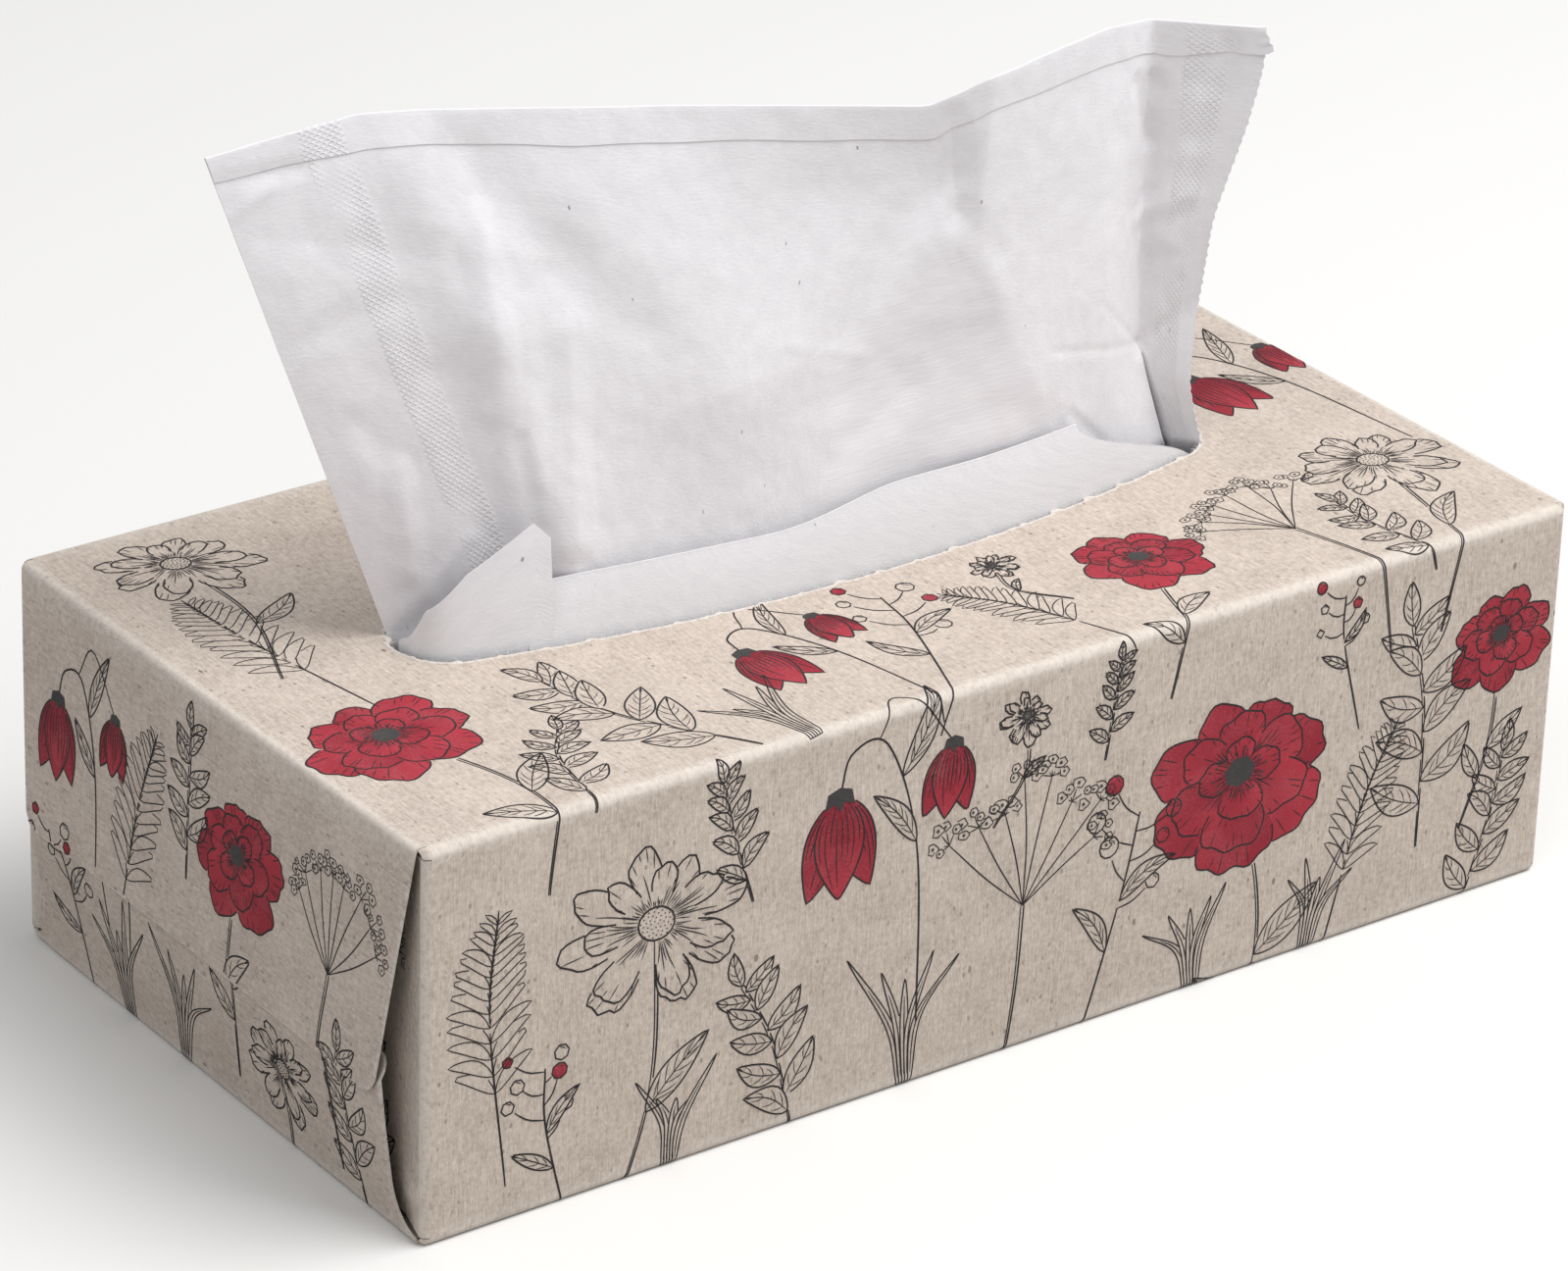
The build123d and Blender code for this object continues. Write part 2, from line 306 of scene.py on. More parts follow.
@dataclass(frozen=True)
class TissueFinish:
    """Soft creped tissue with stray fibres, and bands of knurled embossing that bond its plies."""

    name: str
    white: Colour
    grey: Colour
    speck_colour: Colour = srgb(92, 76, 78)
    bands: tuple[tuple[float, float], ...] = ((0.0205, 0.075), (0.2, 0.0))
    band_half: float = 0.0046
    knurl: float = 2100.0

    def material(self) -> bpy.types.Material:
        """Build the material on the sheet's own coordinates, in metres of flat tissue."""
        tree = ShaderTree(self.name)
        flat = tree.node("ShaderNodeUVMap", {"uv_map": "Sheet"})
        across = tree.node("ShaderNodeSeparateXYZ", None, {0: flat}, 0)
        along = tree.node("ShaderNodeSeparateXYZ", None, {0: flat}, 1)
        crepe = tree.noise(tree.scaled(flat, (700.0, 2300.0, 1.0)), 1.0, 3.0, 0.6)
        cloud = tree.noise(flat, 260.0, 4.0, 0.6)
        colour = tree.mix((cloud * 0.6 + crepe * 0.4).between(0.3, 0.7), self.grey, self.white)
        dust = tree.specks(tree.scaled(flat, (1.0, 0.55, 1.0)), 230.0, 0.06, 0.3)
        lint = tree.specks(tree.scaled(flat, (1.0, 0.28, 1.0)), 95.0, 0.04, 0.34)
        colour = tree.mix(dust.larger(lint) * 0.75, colour, self.speck_colour)
        band = across * 0.0
        for start, slant in self.bands:
            gap = (across - along * slant - start).size()
            band = band.larger(gap.between(self.band_half * 0.7, self.band_half, 1.0, 0.0))
        rise = (across * self.knurl + along * self.knurl * 1.3).wave().size()
        fall = (across * self.knurl - along * self.knurl * 1.3).wave().size()
        faded = tree.noise(flat, 70.0, 2.0).between(0.36, 0.66, 0.0, 1.0)
        knurl = band * faded * rise.larger(fall).between(0.7, 1.0)
        height = crepe * 0.35 + cloud * 0.35 + knurl * 1.2
        inputs = {"Base Color": colour, "Roughness": crepe * 0.08 + 0.88, "Specular IOR Level": 0.2}
        inputs["Normal"] = tree.bump(height, 0.5, 0.0003)
        return tree.finish(inputs)


@dataclass(frozen=True)
class FloorFinish:
    """A plain pale studio floor, which throws less light back up than the camera sees on it."""

    name: str = "studio_floor"
    pale: Colour = srgb(230, 229, 227)
    bounce: Colour = srgb(190, 189, 187)

    def material(self) -> bpy.types.Material:
        """Build the material."""
        tree = ShaderTree(self.name)
        seen = tree.node("ShaderNodeLightPath", None, None, "Is Camera Ray")
        colour = tree.mix(seen, self.bounce, self.pale)
        return tree.finish({"Base Color": colour, "Roughness": 0.7, "Specular IOR Level": 0.1})


OUTER_BOARD = BoardFinish("printed_board", srgb(212, 199, 187), srgb(156, 142, 131))
INNER_BOARD = BoardFinish("inner_board", srgb(190, 180, 167), srgb(150, 140, 128), 0.8)
CUT_BOARD = BoardFinish("cut_board", srgb(214, 206, 196), srgb(166, 155, 143), 0.5)
RED_INK = InkFinish("red_ink", srgb(120, 22, 38), srgb(190, 108, 112), 0.4, srgb(168, 46, 60))
CHARCOAL_INK = InkFinish("charcoal_ink", srgb(58, 56, 56), srgb(96, 92, 88), 0.5)
BLACK_INK = InkFinish("black_ink", srgb(38, 34, 36), srgb(96, 88, 84), 0.4)
WHITE_TISSUE = TissueFinish("white_tissue", srgb(228, 226, 228), srgb(220, 218, 221))
# A greyer copy of the white tissue for the next sheet's fold in the slot: painted shade for the slot's shadow
# and the dark carton seen through the single ply.
SHADED_STRIP_TISSUE = TissueFinish("shaded_strip_tissue", srgb(213, 211, 212), srgb(205, 203, 205), bands=())
CORNER_TISSUE = TissueFinish("corner_tissue", srgb(229, 228, 230), srgb(221, 220, 223), bands=())
STACK_TISSUE = TissueFinish("stack_tissue", srgb(240, 240, 242), srgb(226, 226, 231), bands=())
TORN_FIBRE = InkFinish("torn_fibre", srgb(228, 224, 218), srgb(206, 199, 190), 0.6)


def make_object(
    name: str,
    points: np.ndarray,
    faces: Sequence[Sequence[int]],
    materials: Sequence[bpy.types.Material],
    slots: Sequence[int] | None = None,
    maps: dict[str, np.ndarray] | None = None,
) -> bpy.types.Object:
    """Make a mesh object with its place in its mesh.

    Args:
        name: The object's name.
        points: Vertices in millimetres.
        faces: Vertex numbers of each face.
        materials: The material slots.
        slots: Each face's slot; all 0 if left out.
        maps: UV map name to one coordinate for each vertex.

    Returns:
        The object.
    """
    mesh = bpy.data.meshes.new(name)
    mesh.from_pydata((np.asarray(points) * MM).tolist(), [], faces)
    for material in materials:
        mesh.materials.append(material)
    if slots is not None:
        mesh.polygons.foreach_set("material_index", np.asarray(slots, dtype=np.int32))
    corner = np.empty(len(mesh.loops), dtype=np.int32)
    mesh.loops.foreach_get("vertex_index", corner)
    for key, coordinates in (maps or {}).items():
        layer = mesh.uv_layers.new(name=key)
        layer.data.foreach_set("uv", np.asarray(coordinates, dtype=np.float32)[corner].ravel())
    mesh.polygons.foreach_set("use_smooth", np.ones(len(mesh.polygons), dtype=bool))
    mesh.update()
    mesh.set_sharp_from_angle(angle=math.radians(SHARP_DEGREES))
    made = bpy.data.objects.new(name, mesh)
    bpy.context.scene.collection.objects.link(made)
    return made


def points_inside(points: np.ndarray, outline: np.ndarray) -> np.ndarray:
    """Tell which points lie inside a closed outline.

    Args:
        points: Points, one a row.
        outline: The outline's corners in order.

    Returns:
        One truth value for each point.
    """
    x, y = points[:, 0][:, None], points[:, 1][:, None]
    x1, y1 = outline[:, 0], outline[:, 1]
    x2, y2 = np.roll(x1, -1), np.roll(y1, -1)
    crosses = (y1 > y) != (y2 > y)
    rise = np.where(np.abs(y2 - y1) < 1e-12, 1e-12, y2 - y1)
    left = x < (x2 - x1) * (y - y1) / rise + x1
    return np.count_nonzero(crosses & left, axis=1) % 2 == 1


def distance_to_line(points: np.ndarray, start: tuple, end: tuple) -> np.ndarray:
    """Give each point's distance from the straight line between two ends."""
    low, along = np.array(start, dtype=float), np.subtract(end, start)
    share = np.clip(((points - low) @ along) / np.dot(along, along), 0, 1)
    return np.linalg.norm(points - low - share[..., None] * along, axis=-1)


def along_path(points: Sequence, count: int) -> np.ndarray:
    """Sample a smooth curve through a few points.

    Args:
        points: The points that the curve goes through.
        count: How many samples are wanted.

    Returns:
        The samples, one a row.
    """
    knots = np.asarray(points, dtype=float)
    padded = np.vstack([2 * knots[0] - knots[1], knots, 2 * knots[-1] - knots[-2]])
    place = np.linspace(0, len(knots) - 1 - 1e-9, count)
    index = place.astype(int)
    share = (place - index)[:, None]
    before, start, end, after = (padded[index + step] for step in range(4))
    straight = 2 * start + (end - before) * share
    bend = (2 * before - 5 * start + 4 * end - after) * share**2
    twist = (3 * start - before - 3 * end + after) * share**3
    return 0.5 * (straight + bend + twist)


def run_along(points: np.ndarray) -> np.ndarray:
    """Give each point's distance along its path from the path's start."""
    return np.concatenate([[0], np.cumsum(np.linalg.norm(np.diff(points, axis=0), axis=1))])


def left_of(ahead: np.ndarray) -> np.ndarray:
    """Give the unit directions to the left of the directions ahead."""
    unit = ahead / np.maximum(np.linalg.norm(ahead, axis=1), 1e-9)[:, None]
    return np.column_stack([-unit[:, 1], unit[:, 0]])


def bell_weights(width: float, step: float) -> np.ndarray:
    """Give the weights of a smoothing bell, sampled at a step out to four widths."""
    reach = int(4 * width / step)
    weights = np.exp(-0.5 * (np.arange(-reach, reach + 1) * step / width) ** 2)
    return weights / weights.sum()


def run_on(rows: np.ndarray, reach: int) -> np.ndarray:
    """Run rows on past both ends as their own point reflection."""
    before = 2 * rows[:1] - rows[reach:0:-1]
    after = 2 * rows[-1:] - rows[-2 : -reach - 2 : -1]
    return np.concatenate([before, rows, after])


@dataclass
class Slot:
    """The dispensing slot: bowed long sides, round ends and an edge torn along its perforation."""

    length: float = 158.0
    width: float = 36.0
    end_width: float = 20.0
    end_length: float = 9.0
    pitch: float = 7.6
    tab_width: float = 1.7
    tab_length: float = 0.75
    tear: float = 0.16
    step: float = 0.4
    seed: int = 7

    def clean_outline(self) -> np.ndarray:
        """Give the outline before it tears, evenly stepped and anticlockwise from above."""
        straight = self.length / 2 - self.end_length
        half_end = self.end_width / 2
        front = self._arc((-straight, -half_end), (0, -self.width / 2), (straight, -half_end))
        end = self._arc((straight, -half_end), (self.length / 2, 0), (straight, half_end))
        half = np.vstack([front[:-1], end[:-1]])
        return np.vstack([half, -half])

    def _arc(self, start: tuple, middle: tuple, end: tuple) -> np.ndarray:
        """Sample the circle's arc through three points."""
        matrix = np.array([np.subtract(middle, start), np.subtract(end, start)], dtype=float)
        squares = np.array([np.dot(point, point) - np.dot(start, start) for point in (middle, end)])
        centre = np.linalg.solve(2 * matrix, squares)
        spans = [math.atan2(*(np.asarray(point) - centre)[::-1]) for point in (start, end)]
        if spans[1] < spans[0]:
            spans[1] += 2 * math.pi
        radius = float(np.linalg.norm(np.asarray(start) - centre))
        count = max(int(radius * (spans[1] - spans[0]) / self.step), 4)
        angle = np.linspace(spans[0], spans[1], count)
        return centre + radius * np.column_stack([np.cos(angle), np.sin(angle)])

    def torn_outline(self) -> np.ndarray:
        """Give the torn outline: small tabs at the perforation's pitch and a ragged edge between them."""
        rng = np.random.default_rng(self.seed)
        outline = self.clean_outline()
        inward = left_of(np.roll(outline, -1, axis=0) - np.roll(outline, 1, axis=0))
        run = run_along(outline)
        ragged = rng.normal(0, self.tear, len(outline))
        ragged = 0.5 * ragged + 0.25 * (np.roll(ragged, 1) + np.roll(ragged, -1))
        cell = np.floor(run / self.pitch).astype(int)
        size = rng.uniform(0.5, 1.25, cell.max() + 1)[cell]
        place = np.abs(run - (cell + 0.5) * self.pitch)
        tab = self.tab_length * size * np.clip(1.5 - 2 * place / (self.tab_width * size), 0, 1)
        return outline + inward * (np.abs(ragged) + tab)[:, None]


class Side(Enum):
    """The faces of the folded carton that carry print, as seen from outside."""

    TOP = "top"
    FRONT = "front"
    BACK = "back"
    LEFT = "left"
    RIGHT = "right"


@dataclass
class Flap:
    """One end flap of the blank: where it hangs, how many layers lie over it and how it is cut."""

    middle: float
    half: float
    layers: int
    depth: float
    taper: float
    corner: float
    curve: float = 0.0
    lift: float = 0.0
    ease: float = 1.0
    bulge: float = 0.0


@dataclass
class Blank:
    """The carton's board, laid out flat and folded up.

    Flat coordinates are a, along the carton's length, and b, round the tube from the middle of the
    top panel towards the front.
    """

    length: float = 225.0
    width: float = 118.0
    height: float = 68.0
    board: float = 0.45
    long_radius: float = 1.5
    end_radius: float = 1.2
    slit: float = 0.2
    seam: float = 0.25
    glue: float = 13.0
    glue_end: float = 12.0
    top_depth: float = 43.5
    bottom_depth: float = 30.0
    dust_depth: float = 48.0
    sag: float = 0.7
    corner_turn: float = 1.3
    tent_top: float = 0.85
    torn_rim: float = 0.9
    cut_rim: float = 0.5
    cut_share: float = 0.6
    slot: Slot = field(default_factory=Slot)

    def __post_init__(self) -> None:
        """Work out where each panel and fold begins round the tube, and the flaps."""
        quarter = self.long_radius * math.pi / 2
        flat_width = self.width / 2 - self.long_radius
        flat_height = self.height - 2 * self.long_radius
        spans = (flat_width, quarter, flat_height, quarter, 2 * flat_width - self.board, quarter, self.glue)
        self.marks = np.cumsum(spans)
        self.back_end = -(self.marks[2] - self.seam)
        self.tube_half = self.length / 2 - self.end_radius - 2 * self.board
        self.front_middle = float(self.marks[1] + flat_height / 2)
        self.bottom_middle = float(self.marks[3] + flat_width)
        wide = flat_width - self.slit
        tall = flat_height / 2 - self.slit
        self.glued = [
            Flap(0.0, wide, 0, self.top_depth, taper=6.0, corner=2.5, lift=3.9),
            Flap(
                self.bottom_middle, wide, 1, self.bottom_depth, taper=5.4, corner=3.0, curve=8.0, bulge=3.3
            ),
        ]
        self.flaps = list(self.glued)
        for middle in (self.front_middle, -self.front_middle):
            dust = Flap(middle, tall, 2, self.dust_depth, taper=2.5, corner=4.0, lift=-4.6, ease=0.5)
            self.flaps.append(dust)
        self.corner_reach = self.bend_start(2) + self.corner_turn * self.end_radius
        pairs = [(self.marks[k], self.marks[k + 1]) for k in (0, 2, 4)]
        self.long_folds = [*pairs, (-self.marks[1], -self.marks[0])]
        self.slot_edge = self.slot.torn_outline() * (1, -1)
        self.regions = self._regions()

    def bend_start(self, layers: int) -> float:
        """Give where a flap's bend begins along the length."""
        return self.length / 2 - layers * self.board - self.end_radius

    def bend_end(self, layers: int) -> float:
        """Give where a flap's bend ends along the length."""
        return self.bend_start(layers) + self.end_radius * math.pi / 2

    def flap_place(self, layers: int, inward: float) -> float:
        """Give the flat coordinate of a flap's point by its distance from the panel's outer face."""
        return self.bend_end(layers) + inward - self.end_radius

    def _flap_outline(self, flap: Flap) -> np.ndarray:
        """Give a flap's cut outline at the positive end."""
        bend, end = self.bend_end(flap.layers), self.flap_place(flap.layers, flap.depth)
        side = [(self.tube_half, flap.half), (bend, flap.half)]
        free = flap.half - flap.taper
        if flap.curve:
            for turn in np.linspace(0.12, 1, 8) * math.pi / 2:
                reach = flap.curve * (1 - math.cos(turn))
                side.append((bend + reach, flap.half - flap.taper * math.sin(turn)))
        slope = 0.0 if flap.curve else flap.taper / (end - bend)
        side.append((end - flap.corner, free + slope * flap.corner))
        for turn in np.linspace(0.25, 1, 4) * math.pi / 2:
            reach = flap.corner * math.sin(turn)
            side.append((end - flap.corner + reach, free - flap.corner * (1 - math.cos(turn))))
        half = np.asarray(side)
        outline = np.vstack([half * (1, -1), half[::-1]])
        return outline + (0, flap.middle)

    def _regions(self) -> list[np.ndarray]:
        """Give the outlines whose union is the blank."""
        end = float(self.marks[5])
        body = np.array([(-1, self.back_end), (1, self.back_end), (1, end), (-1, end)]) * (self.tube_half, 1)
        regions = [body]
        for flap in self.flaps:
            outline = self._flap_outline(flap)
            regions.append(outline)
            regions.append(outline * (-1, 1))
        near, far = self.tube_half - self.board, self.corner_reach
        for low, high in self.long_folds:
            corner = np.array([(near, low), (far, low), (far, high), (near, high)])
            regions.append(corner)
            regions.append(corner * (-1, 1))
        narrow, tip = near - self.glue_end, float(self.marks[6])
        regions.append(np.array([(-near, end), (near, end), (narrow, tip), (-narrow, tip)]))
        return regions

    def contains(self, flat: np.ndarray, margin: float = 0.0) -> np.ndarray:
        """Tell which flat points lie on the board.

        Args:
            flat: Flat points, one a row.
            margin: How much further the slot's edge stands off.

        Returns:
            One truth value for each point.
        """
        found = np.zeros(len(flat), dtype=bool)
        for outline in self.regions:
            found |= points_inside(flat, outline)
        hole = self.slot_edge * (1 + margin / self.slot.length, 1 + margin / self.slot.width)
        return found & ~points_inside(flat, hole)

    def _round_tube(self, b: np.ndarray) -> tuple[np.ndarray, ...]:
        """Give Y, Z, the outward normal's Y and Z, and the layers over the panel, round the tube."""
        radius = self.long_radius
        flat_width = self.width / 2 - radius
        marks = self.marks
        path = np.abs(b)
        side = np.where(b >= 0, -1.0, 1.0)
        first, second, third = (np.clip((path - marks[k]) / radius, 0, math.pi / 2) for k in (0, 2, 4))
        far = flat_width - self.board
        panels = [path <= marks[0], path <= marks[1], path <= marks[2], path <= marks[3], path <= marks[4]]
        panels.append(path <= marks[5])
        y = np.select(
            panels,
            [
                side * path,
                side * (flat_width + radius * np.sin(first)),
                side * self.width / 2,
                side * (flat_width + radius * np.cos(second)),
                path - marks[3] - flat_width,
                far + radius * np.sin(third),
            ],
            self.width / 2 - self.board,
        )
        z = np.select(
            panels,
            [
                np.full_like(path, self.height),
                self.height - radius + radius * np.cos(first),
                self.height - radius - (path - marks[1]),
                radius - radius * np.sin(second),
                np.zeros_like(path),
                radius - radius * np.cos(third),
            ],
            radius + path - marks[5],
        )
        zero, one = np.zeros_like(path), np.ones_like(path)
        normal_y = np.select(
            panels, [zero, side * np.sin(first), side, side * np.cos(second), zero, np.sin(third)], one
        )
        normal_z = np.select(panels, [one, np.cos(first), zero, -np.sin(second), -one, -np.cos(third)], zero)
        layers = np.select(panels, [zero, 2 * one, 2 * one, 2 * one, one, 2 * one], 2 * one)
        return y, z, normal_y, normal_z, layers

    def _relief(self, a: np.ndarray, b: np.ndarray) -> np.ndarray:
        """Give how far the board bows out of its flat panels and how far its flaps stand off."""
        lengthwise = np.clip(1 - (a / self.tube_half) ** 2, 0, 1)
        across_top = np.clip(1 - (b / self.marks[0]) ** 2, 0, 1)
        half_tall = (self.marks[2] - self.marks[1]) / 2
        across_side = np.clip(1 - ((np.abs(b) - self.front_middle) / half_tall) ** 2, 0, 1)
        bow = self.sag * lengthwise * (across_side * (np.abs(b) < self.marks[2]) - 0.6 * across_top)
        for flap in self.flaps:
            past = np.abs(a) - self.bend_end(flap.layers)
            on_flap = (past > 0) & (np.abs(b - flap.middle) <= flap.half + SNAP)
            share = np.clip(past / flap.depth, 0, 1)
            edge = np.abs(b - flap.middle) / flap.half
            tent = np.minimum(share / self.tent_top, (1 - share) / (1 - self.tent_top))
            out = flap.lift * share**flap.ease + flap.bulge * tent
            bow = bow + np.where(on_flap, out * (0.75 + 0.25 * edge**2), 0)
        return bow

    def fold(self, flat: np.ndarray, lift: np.ndarray | float = 0.0) -> np.ndarray:
        """Fold flat points up into the carton.

        Args:
            flat: Flat points, one a row.
            lift: How far each point stands out of the board's outer face.

        Returns:
            Points in millimetres.
        """
        a, b = flat[:, 0], flat[:, 1]
        y, z, normal_y, normal_z, layers = self._round_tube(b)
        reach = self.length / 2 - layers * self.board
        side = np.sign(a)
        run = np.abs(a) - (reach - self.end_radius)
        turn = np.clip(run / self.end_radius, 0, math.pi / 2)
        past = np.maximum(run - self.end_radius * math.pi / 2, 0)
        x = side * np.where(run > 0, reach - self.end_radius * (1 - np.sin(turn)), np.abs(a))
        inward = self.end_radius * (1 - np.cos(turn)) + past
        out = lift + self._relief(a, b)
        x = x + side * np.sin(turn) * out
        y = y - normal_y * (inward - np.cos(turn) * out)
        z = z - normal_z * (inward - np.cos(turn) * out)
        return np.column_stack([x, y, z])

    def rim_line(self) -> np.ndarray:
        """Give the line round the slot where the torn rim's bared fibres end."""
        outline = self.slot.clean_outline() * (1, -1)
        aside = left_of(np.roll(outline, -1, axis=0) - np.roll(outline, 1, axis=0))
        return (outline + aside * self.torn_rim)[::3]

    def cut_line(self, flap: Flap, inset: float) -> np.ndarray:
        """Give a line inside a flap's cut outline, at the positive end."""
        return self._flap_outline(replace(flap, half=flap.half - inset, depth=flap.depth - inset))

    def torn(self, flat: np.ndarray) -> np.ndarray:
        """Give 1 on the slot's torn edge, less on the glued flaps' cut edges, and 0 elsewhere."""
        found = np.zeros(len(flat))
        right = np.column_stack([np.abs(flat[:, 0]), flat[:, 1]])
        for flap in self.glued:
            on_flap = right[:, 0] > self.bend_end(flap.layers)
            on_flap &= np.abs(right[:, 1] - flap.middle) <= flap.half + SNAP
            within = points_inside(right, self.cut_line(flap, self.cut_rim / 2))
            found[on_flap & ~within] = self.cut_share
        near = np.linalg.norm(flat / (self.slot.length, self.slot.width), axis=1) < 0.8
        places = np.flatnonzero(near)
        gaps = np.linalg.norm(flat[places][:, None] - self.slot_edge[None], axis=2).min(axis=1)
        found[places] = gaps < SNAP
        return found

    def wear(self, flat: np.ndarray) -> np.ndarray:
        """Give how worn the board is: most along its folds."""
        a, b = np.abs(flat[:, 0]), np.abs(flat[:, 1])
        middles = (self.marks[0:5:2] + self.marks[1:6:2]) / 2
        gap = np.min(np.abs(b[:, None] - middles), axis=1)
        long_wear = 1 - smoothstep(gap, 0.4, 2.6)
        bend = (self.bend_start(0) + self.bend_end(0)) / 2
        end_wear = 1 - smoothstep(np.abs(a - bend), 0.4, 2.4)
        return np.maximum(long_wear * (a < self.tube_half + 0.5), end_wear)


@dataclass
class Carton:
    """The folded carton's board, with its thickness, cut edges and torn slot."""

    blank: Blank
    grid: float = 6.0
    fold_steps: int = 8
    slot_gap: float = 2.0
    name: str = "carton_board"

    def _lines(self) -> list[np.ndarray]:
        """Give the straight lines that the flat triangles keep, along every step of every fold."""
        blank = self.blank
        lines = []
        corner = np.linspace(blank.tube_half, blank.corner_reach, self.fold_steps // 2)
        along = np.concatenate([-corner[::-1], corner])
        for low, high in blank.long_folds:
            for place in np.linspace(low, high, self.fold_steps + 1):
                lines.append(np.column_stack([along, np.full_like(along, place)]))
        for flap in blank.flaps:
            start, stop = blank.bend_start(flap.layers), blank.bend_end(flap.layers)
            sides = (flap.middle - flap.half, flap.middle + flap.half)
            for place in np.linspace(start, stop, self.fold_steps):
                for end in (-1, 1):
                    lines.append(np.array([(end * place, side) for side in sides]))
        return lines

    def _triangulate(self) -> tuple[np.ndarray, np.ndarray]:
        """Cut the flat blank into triangles.

        Returns:
            Flat points and triangles, turned so that they face out of the carton.
        """
        blank = self.blank
        points: list[np.ndarray] = []
        edges: list[tuple[int, int]] = []

        def add_chain(chain: np.ndarray, closed: bool) -> None:
            """Add a line's points and the edges between them."""
            first = len(points)
            points.extend(chain)
            count = len(chain)
            edges.extend((first + k, first + k + 1) for k in range(count - 1))
            if closed:
                edges.append((first + count - 1, first))

        for outline in blank.regions:
            add_chain(self._stepped(np.vstack([outline, outline[:1]]))[:-1], True)
        add_chain(blank.slot_edge, True)
        add_chain(blank.rim_line(), True)
        for flap in blank.glued:
            for end in (-1, 1):
                line = blank.cut_line(flap, blank.cut_rim)[1:-1] * (end, 1)
                add_chain(self._stepped(line), False)
        for line in self._lines():
            add_chain(self._stepped(line), False)
        reach = blank.flap_place(0, blank.top_depth)
        columns = np.arange(-reach, reach, self.grid)
        rows = np.arange(blank.back_end, blank.marks[6], self.grid)
        lattice = np.column_stack([part.ravel() for part in np.meshgrid(columns, rows)])
        points.extend(lattice[blank.contains(lattice, self.slot_gap)])
        vectors = [Vector(point) for point in points]
        found = delaunay_2d_cdt(vectors, edges, [], 0, 1e-4)
        flat = np.array([tuple(vector) for vector in found[0]])
        triangles = np.array(found[2], dtype=np.int64)
        keep = blank.contains(flat[triangles].mean(axis=1))
        corners = flat[triangles]
        area = np.cross(corners[:, 1] - corners[:, 0], corners[:, 2] - corners[:, 0])
        triangles = np.where((area > 0)[:, None], triangles[:, ::-1], triangles)
        triangles = triangles[keep & (np.abs(area) > 1e-7)]
        used, inverse = np.unique(triangles, return_inverse=True)
        return flat[used], inverse.reshape(-1, 3)

    def _stepped(self, chain: np.ndarray) -> np.ndarray:
        """Divide a chain's long runs at the grid's step."""
        out = [chain[0]]
        for start, end in zip(chain[:-1], chain[1:]):
            count = max(int(np.linalg.norm(end - start) / self.grid), 1)
            for step in range(1, count + 1):
                out.append(start + (end - start) * step / count)
        return np.asarray(out)

    def build(self) -> bpy.types.Object:
        """Fold the board and give it its thickness.

        Returns:
            The board as one closed mesh.
        """
        flat, triangles = self._triangulate()
        count = len(flat)
        outer = self.blank.fold(flat)
        inner = self.blank.fold(flat, -self.blank.board)
        sides = np.vstack([triangles[:, [0, 1]], triangles[:, [1, 2]], triangles[:, [2, 0]]])
        keys = {(int(start), int(end)) for start, end in sides}
        rim = [(start, end) for start, end in keys if (end, start) not in keys]
        faces = triangles.tolist()
        faces.extend((triangles[:, ::-1] + count).tolist())
        faces.extend([end, start, start + count, end + count] for start, end in sorted(rim))
        slots = [0] * len(triangles) + [1] * len(triangles) + [2] * len(rim)
        materials = [OUTER_BOARD.material(), INNER_BOARD.material(), CUT_BOARD.material()]
        maps = {"Blank": np.vstack([flat, flat + (0.5, 0.3)]) * MM}
        board = make_object(self.name, np.vstack([outer, inner]), faces, materials, slots, maps)
        for label, values in (("Wear", self.blank.wear(flat)), ("Torn", self.blank.torn(flat))):
            attribute = board.data.attributes.new(label, "FLOAT", "POINT")
            attribute.data.foreach_set("value", np.tile(values, 2).astype(np.float32))
        return board


@dataclass
class Stroke:
    """One drawn line: its path and its width, thinner towards its ends."""

    path: np.ndarray
    width: float
    taper: float = 0.35

    def widths(self) -> np.ndarray:
        """Give the width along the path."""
        swell = np.sin(math.pi * np.linspace(0, 1, len(self.path))) ** 0.5
        return self.width * (self.taper + (1 - self.taper) * swell)


@dataclass
class Fill:
    """One filled shape: its outline, and how pale its ink is at each point of it."""

    outline: np.ndarray
    tones: np.ndarray


